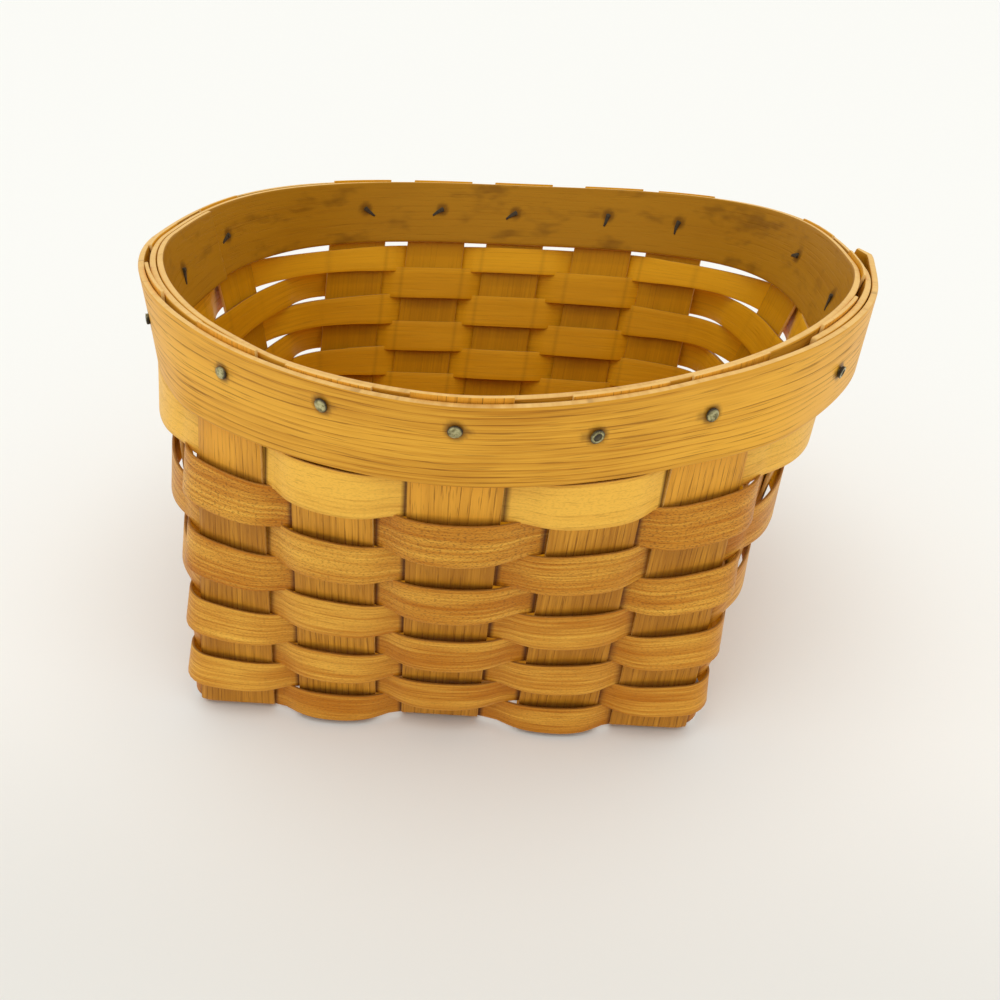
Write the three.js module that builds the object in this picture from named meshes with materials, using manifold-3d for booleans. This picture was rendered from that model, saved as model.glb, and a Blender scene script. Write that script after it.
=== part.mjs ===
// Splint basket: crossed stakes turned up from a flat base, nine woven rows, and a rim of two tacked bands.
// Millimetres, +Z up, front towards -Y. Stations count the uprights counter-clockwise from the front's left one,
// so station 2.5 lies half way between the third and the fourth upright.
import * as THREE from 'three';
import { mergeVertices } from 'three/addons/utils/BufferGeometryUtils.js';
import Module from 'manifold-3d';

const wasm = await Module();
wasm.setup();

// Stakes, with the spaces between the cross stakes on the base from left to right
const STAKE_WIDTH = 25.4;
const STAKE_THICKNESS = 1.1;
const CROSS_SPACES = [8.8, 8.6, 12.8, 5.4];
const CROSS_SPREAD_AT_RIM = 1.45;
const LONG_SPACES = [20.6, 20.6];
const LONG_SPREAD_AT_RIM = -1.5;
const STAKE_BEND = 2.5;
const STAKE_PROUD = 0.8;
const CROSSING_MARGIN = 0.5;

// Base and rim: free base between the outermost stakes and the bends, and the rim's reach out past the base
const BASE_END_MARGIN = 0.4;
const BASE_FRONT_MARGIN = 15.3;
const BASE_CORNER = 8;
const BASE_TWIST = THREE.MathUtils.degToRad(1.5);
const FLARE_ENDS = 30;
const FLARE_FRONT = 32;
const LEAN_RIGHT = 12.9;
const LEAN_BACK = 10;
const RIM_SADDLE = 3.4;
const RIM_WIDEST_FRONT = 8.8;
const RIM_FRONT_SQUARENESS = 1.78;
const RIM_BACK_SQUARENESS = 2.65;

// Weavers, whose rows crowd together towards the base at the front, where they are split narrower
const WEAVER_ROWS = 9;
const WEAVER_WIDTH = 11.4;
const WEAVER_THICKNESS = 0.9;
const WEAVER_SLACK = 0.8;
const WEAVER_FLATNESS = 0.75;
const WEAVER_TILT = 1.5;
const ROW_PITCH = 11.25;
const ROW_CROWDING = 0.2;
const ROW_GAP = 0.5;
const FOOT_GAP = 2.5;
const WEAVER_LAP = 3;
const LAP_RAMP = 0.5;

// Rim bands
const BAND_WIDTH = 25.4;
const BAND_THICKNESS = 2.0;
const OUTER_LAP_START = 4.6;
const OUTER_LAP_END = 6.3;
const INNER_LAP_START = 13.3;
const INNER_LAP_END = 15.7;
const BAND_RAMP = 1;
const BAND_SPRING = 1.5;
const BAND_SPRING_RUN = 0.4;
const BAND_HANG = 8;
const BAND_HANG_RUN = 2.2;

// Tacks, driven by hand on the front, right, back and left: how far each misses its stake's middle, and its drop
const TACK_DRIFTS = [[2.1, 0.1, -0.7, -5.8, -6.5], [-3.1, 0, 0], [0, 0, 1.5, -1, -2], [2, 1.5, -2]].flat();
const TACK_DROPS = [[7.8, 6.3, 7.2, 10.2, 10.4], [14, 12, 11.4], [11.4, 11, 11.8, 11.4, 11], [11.6, 12, 12]].flat();
const TACK_HEAD = 4.4;
const TACK_HEAD_HEIGHT = 1.0;
const TACK_SHANK = 1.5;
const TACK_TAIL = 4.2;
const TACK_TAIL_THICKNESS = 0.8;

// Clearances
const SPLINT_GAP = 0.3;
const BAND_GAP = 0.4;
const TACK_GAP = 0.3;
const TACK_SEAT_GAP = 0.5;

// Sizes that follow, at the middle of the stakes' thickness
const CROSS_STAKES = CROSS_SPACES.length + 1;
const LONG_STAKES = LONG_SPACES.length + 1;
const UPRIGHTS = 2 * (CROSS_STAKES + LONG_STAKES);
const sum = (values) => values.reduce((total, value) => total + value, 0);
const CROSS_SPAN = CROSS_STAKES * STAKE_WIDTH + sum(CROSS_SPACES);
const LONG_SPAN = LONG_STAKES * STAKE_WIDTH + sum(LONG_SPACES);
const BEND_ROOM = STAKE_BEND + CROSSING_MARGIN;
const BASE_LENGTH = CROSS_SPAN + 2 * (BASE_END_MARGIN + BEND_ROOM);
const BASE_DEPTH = LONG_SPAN + 2 * (BASE_FRONT_MARGIN + BEND_ROOM);
const BASE_LEVEL = STAKE_THICKNESS + SPLINT_GAP / 2;
const RIM_LENGTH = BASE_LENGTH + 2 * FLARE_ENDS;
const RIM_DEPTH = BASE_DEPTH + 2 * FLARE_FRONT;
const FRONT_WALL = FOOT_GAP + WEAVER_ROWS * ROW_PITCH + BAND_WIDTH;
const FRONT_RISE = Math.sqrt(FRONT_WALL ** 2 - (FLARE_FRONT - LEAN_BACK) ** 2);
const RIM_HEIGHT = BASE_LEVEL + FRONT_RISE + RIM_SADDLE;

const ashStake = new THREE.MeshStandardMaterial({ color: 0xc98f4a, roughness: 0.5, metalness: 0 });
const ashWeaver = new THREE.MeshStandardMaterial({ color: 0xcf9a55, roughness: 0.48, metalness: 0 });
const ashBand = new THREE.MeshStandardMaterial({ color: 0xd09a52, roughness: 0.45, metalness: 0 });
const tackSteel = new THREE.MeshStandardMaterial({ color: 0x6f5f4c, roughness: 0.42, metalness: 0.9 });

const smooth = (share) => THREE.MathUtils.smoothstep(share, 0, 1);

// The base's outline, walked counter-clockwise from the middle of the front.
function baseOutline() {
  const halfLength = BASE_LENGTH / 2;
  const halfDepth = BASE_DEPTH / 2;
  const x = halfLength - BASE_CORNER;
  const y = halfDepth - BASE_CORNER;
  const outline = new THREE.Path();
  outline.moveTo(0, -halfDepth);
  outline.lineTo(x, -halfDepth);
  outline.absarc(x, -y, BASE_CORNER, -Math.PI / 2, 0, false);
  outline.lineTo(halfLength, y);
  outline.absarc(x, y, BASE_CORNER, 0, Math.PI / 2, false);
  outline.lineTo(-x, halfDepth);
  outline.absarc(-x, y, BASE_CORNER, Math.PI / 2, Math.PI, false);
  outline.lineTo(-halfLength, -y);
  outline.absarc(-x, -y, BASE_CORNER, Math.PI, 1.5 * Math.PI, false);
  outline.lineTo(0, -halfDepth);
  return outline;
}

// The rim's oval, widest in front of its middle. Its ends stand higher than its front and back.
class RimOval extends THREE.Curve {
  getPoint(share) {
    const angle = 2 * Math.PI * share - Math.PI / 2;
    const across = Math.cos(angle);
    const deep = Math.sin(angle);
    const power = 2 / (deep < 0 ? RIM_FRONT_SQUARENESS : RIM_BACK_SQUARENESS);
    const reach = RIM_DEPTH / 2 + (deep < 0 ? -RIM_WIDEST_FRONT : RIM_WIDEST_FRONT);
    const x = Math.sign(across) * Math.abs(across) ** power * RIM_LENGTH / 2;
    const y = Math.sign(deep) * Math.abs(deep) ** power * reach - RIM_WIDEST_FRONT;
    const endShare = 2 * x / RIM_LENGTH;
    const backShare = 2 * y / RIM_DEPTH;
    const z = RIM_HEIGHT + RIM_SADDLE * (endShare ** 2 - backShare ** 2);
    return new THREE.Vector3(x, y, z);
  }
}

const upAxis = new THREE.Vector3(0, 0, 1);
const baseCentre = new THREE.Vector3(-LEAN_RIGHT, -LEAN_BACK, 0);
const base = baseOutline();
const baseLength = base.getLength();
const rim = new RimOval();
rim.arcLengthDivisions = 1200;
const rimLengths = rim.getLengths();
const rimLength = rimLengths[rim.arcLengthDivisions];

// The middles of a row of stakes, in mm from the middle of the row.
function stakeMiddles(spaces, spread) {
  const middles = [0];
  spaces.forEach((space, i) => middles.push(middles[i] + STAKE_WIDTH + space + spread));
  const half = middles[spaces.length] / 2;
  return middles.map((place) => place - half);
}

// The uprights' places along an outline, in mm from the middle of the front, from the places of its four middles.
function uprightPlaces(quarters, crossSpread, longSpread) {
  const cross = stakeMiddles(CROSS_SPACES, crossSpread);
  const long = stakeMiddles(LONG_SPACES, longSpread);
  const mirrored = (places) => places.map((place) => -place).reverse();
  const sides = [cross, long, mirrored(cross), mirrored(long)];
  return sides.flatMap((places, side) => places.map((place) => quarters[side] + place));
}

const quarterShares = [0, 0.25, 0.5, 0.75];
const baseQuarters = quarterShares.map((share) => share * baseLength);
const rimQuarters = quarterShares.map((share) => rimLengths[share * rim.arcLengthDivisions]);
const basePlaces = uprightPlaces(baseQuarters, 0, 0);
const rimPlaces = uprightPlaces(rimQuarters, CROSS_SPREAD_AT_RIM, LONG_SPREAD_AT_RIM);

// The place of a station along an outline, in mm, running on past a whole turn.
function placeAt(places, total, station) {
  const turn = (index) => places[THREE.MathUtils.euclideanModulo(index, UPRIGHTS)]
    + total * Math.floor(index / UPRIGHTS);
  const index = Math.floor(station);
  return THREE.MathUtils.lerp(turn(index), turn(index + 1), station - index);
}

// A point of the wall at a station and at a share of its height: 0 at the base's edge and 1 at the rim.
function wallPoint(station, share) {
  const basePlace = placeAt(basePlaces, baseLength, station) / baseLength;
  const rimPlace = placeAt(rimPlaces, rimLength, station) / rimLength;
  const foot = base.getPoint(THREE.MathUtils.euclideanModulo(basePlace, 1));
  const top = rim.getPointAt(THREE.MathUtils.euclideanModulo(rimPlace, 1));
  return new THREE.Vector3(foot.x, foot.y, 0)
    .applyAxisAngle(upAxis, BASE_TWIST)
    .add(baseCentre)
    .setZ(BASE_LEVEL)
    .lerp(top, share);
}

// The wall's outward direction.
function wallNormal(station, share) {
  const step = 0.02;
  const around = wallPoint(station + step, share).sub(wallPoint(station - step, share));
  const upward = wallPoint(station, share + step).sub(wallPoint(station, share - step));
  return around.cross(upward).normalize();
}

function wallLength(station) {
  return wallPoint(station, 1).distanceTo(wallPoint(station, 0));
}

// The station that lies some mm to one side of an upright's middle.
function stationBeside(upright, offset, share) {
  const next = upright + Math.sign(offset);
  const basePitch = Math.abs(placeAt(basePlaces, baseLength, next) - placeAt(basePlaces, baseLength, upright));
  const rimPitch = Math.abs(placeAt(rimPlaces, rimLength, next) - placeAt(rimPlaces, rimLength, upright));
  const pitch = THREE.MathUtils.lerp(basePitch, rimPitch, share);
  return offset === 0 ? upright : upright + offset / pitch;
}

const edgeOffsets = [-STAKE_WIDTH / 2, 0, STAKE_WIDTH / 2];

// Outward directions of a grid of points, whose columns turn left of its rows' travel.
function gridNormals(grid) {
  return grid.map((row, r) => {
    const before = grid[Math.max(r - 1, 0)];
    const after = grid[Math.min(r + 1, grid.length - 1)];
    return row.map((point, c) => {
      const travel = after[c].clone().sub(before[c]);
      const across = row[Math.min(c + 1, row.length - 1)].clone().sub(row[Math.max(c - 1, 0)]);
      return travel.cross(across).normalize();
    });
  });
}

// A closed strip of even thickness whose middle is a grid of points.
function stripGeometry(grid, thickness, normals = gridNormals(grid)) {
  const rows = grid.length;
  const columns = grid[0].length;
  const positions = [];
  for (const side of [0.5, -0.5]) {
    grid.forEach((row, r) => row.forEach((point, c) => {
      positions.push(...point.clone().addScaledVector(normals[r][c], side * thickness).toArray());
    }));
  }
  const indices = [];
  const vertex = (side, r, c) => side * rows * columns + r * columns + c;
  const quad = (a, b, c, d) => indices.push(a, b, c, a, c, d);
  for (let r = 0; r + 1 < rows; r += 1) {
    for (let c = 0; c + 1 < columns; c += 1) {
      quad(vertex(0, r, c), vertex(0, r + 1, c), vertex(0, r + 1, c + 1), vertex(0, r, c + 1));
      quad(vertex(1, r, c), vertex(1, r, c + 1), vertex(1, r + 1, c + 1), vertex(1, r + 1, c));
    }
    quad(vertex(0, r, 0), vertex(1, r, 0), vertex(1, r + 1, 0), vertex(0, r + 1, 0));
    const last = columns - 1;
    quad(vertex(0, r, last), vertex(0, r + 1, last), vertex(1, r + 1, last), vertex(1, r, last));
  }
  for (let c = 0; c + 1 < columns; c += 1) {
    quad(vertex(0, 0, c), vertex(0, 0, c + 1), vertex(1, 0, c + 1), vertex(1, 0, c));
    const last = rows - 1;
    quad(vertex(0, last, c), vertex(1, last, c), vertex(1, last, c + 1), vertex(0, last, c + 1));
  }
  const geometry = new THREE.BufferGeometry();
  geometry.setAttribute('position', new THREE.Float32BufferAttribute(positions, 3));
  geometry.setIndex(indices);
  return geometry;
}

// Joins and cuts
function toSolid(geometry) {
  const bare = geometry.clone();
  bare.deleteAttribute('normal');
  bare.deleteAttribute('uv');
  const merged = mergeVertices(bare, 1e-4);
  return new wasm.Manifold(new wasm.Mesh({
    numProp: 3,
    vertProperties: new Float32Array(merged.attributes.position.array),
    triVerts: new Uint32Array(merged.index.array),
  }));
}

function toGeometry(solid) {
  const mesh = solid.getMesh();
  const geometry = new THREE.BufferGeometry();
  geometry.setAttribute('position', new THREE.Float32BufferAttribute(mesh.vertProperties, 3));
  geometry.setIndex(new THREE.Uint32BufferAttribute(mesh.triVerts, 1));
  return geometry;
}

function cut(geometry, cutters) {
  return toGeometry(cutters.reduce((solid, cutter) => solid.subtract(cutter), toSolid(geometry)));
}

// Rim bands: the outer one laps over itself on the right, the inner one on the left.
const bandOffset = STAKE_THICKNESS / 2 + BAND_GAP + BAND_THICKNESS / 2;
const lapStep = BAND_THICKNESS + BAND_GAP;

// How far the outermost layer of the outer band lies from the middle of the stakes, at a share of its width
// down from its top: towards its free end, its lower edge hangs away from the wall.
function outerBandOffset(station, down) {
  const place = station < OUTER_LAP_START - BAND_RAMP ? station + UPRIGHTS : station;
  const turned = place > OUTER_LAP_END ? place - UPRIGHTS : place;
  const rise = smooth((turned - OUTER_LAP_START + BAND_RAMP) / BAND_RAMP);
  const spring = smooth((turned - OUTER_LAP_END + BAND_SPRING_RUN) / BAND_SPRING_RUN);
  const hang = smooth((turned - OUTER_LAP_END + BAND_HANG_RUN) / BAND_HANG_RUN);
  return bandOffset + lapStep * rise + BAND_SPRING * spring + BAND_HANG * hang * down;
}

// How far the innermost layer of the inner band lies inside the middle of the stakes.
function innerBandOffset(station) {
  const rise = smooth((INNER_LAP_END + BAND_RAMP - station) / BAND_RAMP);
  const lapped = station >= INNER_LAP_START ? rise : 0;
  return bandOffset + lapStep * lapped;
}

// The band's top comes first, so that its facets are split the same way as the stakes' facets behind it.
function bandShares(station) {
  return [1, 1 - BAND_WIDTH / wallLength(station)];
}

function bandGrid(stations, offsetAt) {
  return stations.map((station) => bandShares(station).map((share, down) => wallPoint(station, share)
    .addScaledVector(wallNormal(station, share), offsetAt(station, down))));
}

// A band bends at the middles and edges of the stakes behind it, half way between them, and at its own ends.
function bandStations(from, to, extra) {
  const stations = [from, to, ...extra];
  for (let upright = Math.floor(from); upright <= Math.ceil(to); upright += 1) {
    const edges = edgeOffsets.map((offset) => stationBeside(upright, offset, 1));
    stations.push(...edges, upright + 0.5);
  }
  const near = 0.06;
  return stations
    .filter((station) => station >= from && station <= to)
    .sort((one, other) => one - other)
    .filter((station, i, sorted) => i === 0 || station === to || station - sorted[i - 1] > near)
    .filter((station) => station === to || to - station > near);
}

function outerBand() {
  const turn = OUTER_LAP_START + UPRIGHTS;
  const end = OUTER_LAP_END + UPRIGHTS;
  const changes = [turn - BAND_RAMP, turn, end - BAND_HANG_RUN, end - BAND_SPRING_RUN];
  const stations = bandStations(OUTER_LAP_START, end, changes);
  const offsetAt = (station, down) => (
    station < turn - BAND_RAMP ? bandOffset : outerBandOffset(station - UPRIGHTS, down));
  return stripGeometry(bandGrid(stations, offsetAt), BAND_THICKNESS);
}

function innerBand() {
  const turn = INNER_LAP_START + UPRIGHTS;
  const end = INNER_LAP_END + UPRIGHTS;
  const stations = bandStations(INNER_LAP_START, end, [INNER_LAP_END, INNER_LAP_END + BAND_RAMP]);
  const offsetAt = (station) => -(station < turn ? innerBandOffset(station) : bandOffset);
  return stripGeometry(bandGrid(stations, offsetAt), BAND_THICKNESS);
}

// Tacks: the head sits outside the outer band, the shank goes through, and the tail is bent over inside.
function tackStation(upright) {
  return stationBeside(upright, TACK_DRIFTS[upright], 1);
}

function tackPlace(upright) {
  const station = tackStation(upright);
  const share = 1 - TACK_DROPS[upright] / wallLength(station);
  const outward = wallNormal(station, share);
  const upward = wallPoint(station, 1).sub(wallPoint(station, 0)).normalize();
  const along = upward.clone().cross(outward).normalize();
  const frame = new THREE.Matrix4().makeBasis(along, outward, along.clone().cross(outward));
  return frame.setPosition(wallPoint(station, share));
}

function tackGeometry(upright) {
  const station = tackStation(upright);
  const inward = station < INNER_LAP_START ? station + UPRIGHTS : station;
  const lowest = (TACK_DROPS[upright] + TACK_HEAD / 2) / BAND_WIDTH;
  const seat = outerBandOffset(station, lowest) + BAND_THICKNESS / 2 + TACK_SEAT_GAP;
  const inside = -innerBandOffset(inward) - BAND_THICKNESS / 2 - TACK_SEAT_GAP;
  const end = inside - TACK_TAIL_THICKNESS;
  const profile = [
    [0, end], [TACK_SHANK / 2, end], [TACK_SHANK / 2, seat], [TACK_HEAD / 2, seat],
    [TACK_HEAD * 0.42, seat + TACK_HEAD_HEIGHT * 0.6], [0, seat + TACK_HEAD_HEIGHT],
  ].map(([radius, height]) => new THREE.Vector2(radius, height));
  const pin = new THREE.LatheGeometry(profile, 8);
  const tail = new THREE.BoxGeometry(TACK_SHANK, TACK_TAIL_THICKNESS, TACK_TAIL);
  tail.translate(0, inside - TACK_TAIL_THICKNESS / 2, TACK_TAIL / 2 - TACK_SHANK / 4);
  const geometry = toGeometry(toSolid(pin).add(toSolid(tail)));
  return geometry.applyMatrix4(tackPlace(upright));
}

function tackHole(upright) {
  const reach = 2 * (bandOffset + lapStep + BAND_THICKNESS + BAND_SPRING + BAND_HANG);
  const hole = new THREE.CylinderGeometry(TACK_SHANK / 2 + TACK_GAP, TACK_SHANK / 2 + TACK_GAP, reach, 6);
  return toSolid(hole.applyMatrix4(tackPlace(upright)));
}

const tackHoles = Array.from({ length: UPRIGHTS }, (_, upright) => tackHole(upright));

// Stakes: down one wall, along the base over and under the stakes that cross it, and up the opposite wall.
function stakeGeometry({ first, second, along, lateral, middle, edgeRun, crossings }) {
  const basePoint = (run, offset, level) => along.clone()
    .multiplyScalar(run)
    .addScaledVector(lateral, middle + offset)
    .applyAxisAngle(upAxis, BASE_TWIST)
    .add(baseCentre)
    .setZ(level);
  const wallRow = (upright, direction, share, widthShare = share) => edgeOffsets.map((offset) => (
    wallPoint(stationBeside(upright, direction * offset, widthShare), share)));
  const topShare = (upright) => 1 + STAKE_PROUD / wallLength(upright);
  const bandShare = (upright) => 1 - BAND_WIDTH / wallLength(upright);
  const bendShare = (upright) => STAKE_BEND / wallLength(upright);
  const wallRows = (upright, direction) => [
    wallRow(upright, direction, topShare(upright), 1),
    wallRow(upright, direction, bandShare(upright), 1),
    ...[0.55, 0.3, bendShare(upright)].map((share) => wallRow(upright, direction, share)),
  ];
  const bendRows = (upright, direction, run, level) => [0.25, 0.5, 0.75, 1].map((share) => (
    edgeOffsets.map((offset, c) => new THREE.QuadraticBezierCurve3(
      wallRow(upright, direction, bendShare(upright))[c],
      wallRow(upright, direction, 0)[c],
      basePoint(run, offset, level),
    ).getPoint(share))));
  const reach = STAKE_WIDTH / 2 + CROSSING_MARGIN;
  const levelOf = (above) => STAKE_THICKNESS / 2 + (above ? STAKE_THICKNESS + SPLINT_GAP : 0);
  const baseRows = crossings.flatMap(({ run, above }) => [run - reach, run + reach].map((place) => (
    edgeOffsets.map((offset) => basePoint(place, offset, levelOf(above))))));
  const firstLevel = levelOf(crossings[0].above);
  const lastLevel = levelOf(crossings[crossings.length - 1].above);
  const bendRun = edgeRun - STAKE_BEND;
  const grid = [
    ...wallRows(first, 1),
    ...bendRows(first, 1, -bendRun, firstLevel),
    ...baseRows,
    ...bendRows(second, -1, bendRun, lastLevel).reverse(),
    ...wallRows(second, -1).reverse(),
  ];
  const flatStart = wallRows(first, 1).length + 3;
  const flatEnd = grid.length - flatStart;
  const down = new THREE.Vector3(0, 0, -1);
  const normals = gridNormals(grid).map((row, r) => (r >= flatStart && r < flatEnd ? row.map(() => down) : row));
  return cut(stripGeometry(grid, STAKE_THICKNESS, normals), [tackHoles[first], tackHoles[second]]);
}

const crossMiddles = stakeMiddles(CROSS_SPACES, 0);
const longMiddles = stakeMiddles(LONG_SPACES, 0);
const crossIsAbove = (cross, long) => (cross + long) % 2 === 0;

function crossStake(cross) {
  return stakeGeometry({
    first: cross,
    second: 2 * CROSS_STAKES + LONG_STAKES - 1 - cross,
    along: new THREE.Vector3(0, 1, 0),
    lateral: new THREE.Vector3(1, 0, 0),
    middle: crossMiddles[cross],
    edgeRun: BASE_DEPTH / 2,
    crossings: longMiddles.map((run, long) => ({ run, above: crossIsAbove(cross, long) })),
  });
}

function longStake(long) {
  return stakeGeometry({
    first: CROSS_STAKES + long,
    second: UPRIGHTS - 1 - long,
    along: new THREE.Vector3(-1, 0, 0),
    lateral: new THREE.Vector3(0, 1, 0),
    middle: longMiddles[long],
    edgeRun: BASE_LENGTH / 2,
    crossings: crossMiddles.map((middle, cross) => ({ run: -middle, above: !crossIsAbove(cross, long) })).reverse(),
  });
}

// Weavers: each row passes in front of one upright and behind the next, and laps over its own start.
const splintClear = (STAKE_THICKNESS + WEAVER_THICKNESS) / 2 + SPLINT_GAP;
const tightPitch = STAKE_WIDTH + Math.min(...CROSS_SPACES);
const weaverBulge = splintClear / weaverWave(STAKE_WIDTH / 2 / tightPitch) + WEAVER_SLACK;
const weaverSteps = [0, 0.25, 0.42, 0.58, 0.75];

// A row's swing at a station: 1 at each even upright and -1 at each odd one.
function weaverWave(station) {
  const swing = Math.cos(Math.PI * station);
  return Math.sign(swing) * Math.abs(swing) ** WEAVER_FLATNESS;
}

// The upright where a row's lap starts: one that the row passes outside, on another side for each row.
function lapStart(row, outside) {
  const wanted = CROSS_STAKES + (row * LONG_STAKES) % (CROSS_STAKES + LONG_STAKES);
  const evenIsOutside = outside > 0;
  return wanted + ((wanted % 2 === 0) === evenIsOutside ? 0 : 1);
}

// How far down the woven height a number of rows reach, as a share of it. Front is 1 there and 0 at the back.
function wovenShare(rows, front) {
  const share = rows / WEAVER_ROWS;
  return share + ROW_CROWDING * front * share * (1 - share);
}

function weaverGeometry(row) {
  const frontPitch = WEAVER_ROWS * ROW_PITCH * (wovenShare(row + 1, 1) - wovenShare(row, 1));
  const width = Math.min(WEAVER_WIDTH, frontPitch - ROW_GAP);
  const outside = row % 2 === 0 ? -1 : 1;
  const start = lapStart(row, outside);
  const end = start + UPRIGHTS + WEAVER_LAP;
  const layerStep = WEAVER_THICKNESS + SPLINT_GAP;
  const stations = [];
  for (let upright = start; upright < end; upright += 1) {
    stations.push(...weaverSteps.map((step) => upright + step));
  }
  stations.push(end);
  const grid = stations.map((station) => {
    const wave = outside * weaverWave(station);
    const under = 1 - smooth((station - start - WEAVER_LAP) / LAP_RAMP);
    const over = smooth((station - start - UPRIGHTS + LAP_RAMP) / LAP_RAMP);
    const lift = over * layerStep * (1 + wave) / 2 - under * layerStep * (1 - wave) / 2;
    const tilt = WEAVER_TILT * Math.max(wave, 0) ** 2;
    const length = wallLength(station);
    const front = smooth(0.5 - wallPoint(station, 1).y / RIM_DEPTH);
    const drop = THREE.MathUtils.lerp(BAND_WIDTH, length - FOOT_GAP, wovenShare(row + 0.5, front));
    return [-1, 1].map((edge) => {
      const share = 1 - (drop - edge * width / 2) / length;
      const offset = weaverBulge * wave + lift - edge * tilt;
      return wallPoint(station, share).addScaledVector(wallNormal(station, share), offset);
    });
  });
  return stripGeometry(grid, WEAVER_THICKNESS);
}

// Assembly
const basket = new THREE.Group();

function addPiece(name, geometry, material) {
  const bare = geometry.index ? geometry.toNonIndexed() : geometry;
  bare.deleteAttribute('normal');
  const piece = new THREE.Mesh(mergeVertices(bare, 1e-4), material);
  piece.geometry.computeVertexNormals();
  piece.name = name;
  basket.add(piece);
}

for (let cross = 0; cross < CROSS_STAKES; cross += 1) {
  addPiece(`cross_stake_${cross + 1}`, crossStake(cross), ashStake);
}
for (let long = 0; long < LONG_STAKES; long += 1) {
  addPiece(`long_stake_${long + 1}`, longStake(long), ashStake);
}
for (let row = 0; row < WEAVER_ROWS; row += 1) {
  addPiece(`weaver_row_${row + 1}`, weaverGeometry(row), ashWeaver);
}
addPiece('outer_rim_band', cut(outerBand(), tackHoles), ashBand);
addPiece('inner_rim_band', cut(innerBand(), tackHoles), ashBand);
for (let upright = 0; upright < UPRIGHTS; upright += 1) {
  addPiece(`rim_tack_${String(upright + 1).padStart(2, '0')}`, tackGeometry(upright), tackSteel);
}

// The basket stands on the ground with the middle of its outer box at the origin.
const box = new THREE.Box3().setFromObject(basket);
const middle = box.getCenter(new THREE.Vector3());
basket.position.set(-middle.x, -middle.y, -box.min.z);

export default basket;
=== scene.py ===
"""Splint basket: flat ash stakes and weavers, two bent rim bands and their tacks.

Metres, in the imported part's frame: +X to the right, +Y to the back, +Z up. Stations count the uprights
counter-clockwise from the front's left one, and a share runs from 0 at the base's edge to 1 at the rim.
"""
import logging
import math
import random
from dataclasses import dataclass, field
from enum import Enum
from typing import Any, Callable, Sequence

import bpy
import numpy as np
from mathutils import Matrix, Vector


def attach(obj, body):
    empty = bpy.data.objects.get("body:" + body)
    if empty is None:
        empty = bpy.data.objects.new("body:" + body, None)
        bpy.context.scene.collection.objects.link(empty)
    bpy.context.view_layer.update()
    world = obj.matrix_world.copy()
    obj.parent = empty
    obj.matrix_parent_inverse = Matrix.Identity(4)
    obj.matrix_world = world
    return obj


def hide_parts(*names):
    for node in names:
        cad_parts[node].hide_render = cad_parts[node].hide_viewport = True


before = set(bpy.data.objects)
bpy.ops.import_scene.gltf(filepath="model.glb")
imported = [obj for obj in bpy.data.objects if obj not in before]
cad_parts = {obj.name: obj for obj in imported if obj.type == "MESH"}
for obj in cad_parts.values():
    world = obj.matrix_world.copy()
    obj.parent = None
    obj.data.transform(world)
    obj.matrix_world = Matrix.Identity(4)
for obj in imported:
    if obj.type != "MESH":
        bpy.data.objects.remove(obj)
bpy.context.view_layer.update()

log = logging.getLogger("basket")
MM = 0.001
BODY = "root"
NOISE_MIDDLE = 0.5
Colour = tuple[float, float, float]
Limits = tuple[float, float]
Crossing = tuple[float, bool]


class Grain(Enum):
    """The ways that the splints show their grain."""

    PORED = "pored"
    LINED = "lined"
    FLECKED = "flecked"


class WoodSlot(Enum):
    """The record's material slots of the wooden pieces."""

    STAKE = "stake_splint"
    WEAVER = "weaver_splint"
    BAND = "rim_band"


def smooth(share: np.ndarray | float) -> np.ndarray:
    """Eases a share from 0 to 1, clamped at both ends."""
    held = np.clip(share, 0.0, 1.0)
    return held * held * (3.0 - 2.0 * held)


def distances(points: np.ndarray) -> np.ndarray:
    """Measures how far along a row each of its points lies."""
    steps = np.linalg.norm(np.diff(points, axis=0), axis=1)
    return np.concatenate([[0.0], np.cumsum(steps)])


def round_edges(piece: bpy.types.Object, width: float, segments: int, crease: float) -> None:
    """Rounds the sharp edges of the active piece.

    Args:
        piece: The piece.
        width: The rounding's width.
        segments: How many steps it has.
        crease: The least angle of an edge that counts as sharp, in degrees.
    """
    bevel = piece.modifiers.new("edges", "BEVEL")
    bevel.width = width
    bevel.segments = segments
    bevel.limit_method = "ANGLE"
    bevel.angle_limit = math.radians(crease)
    bpy.ops.object.modifier_apply(modifier=bevel.name)


def hand_in(piece: bpy.types.Object, node: str) -> None:
    """Names a finished piece and hangs it on the part's frame in place of a node.

    Args:
        piece: The piece.
        node: The CAD node that it stands for.
    """
    piece.name = f"{node}_dressed"
    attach(piece, BODY)
    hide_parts(node)


# Shader expressions


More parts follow.
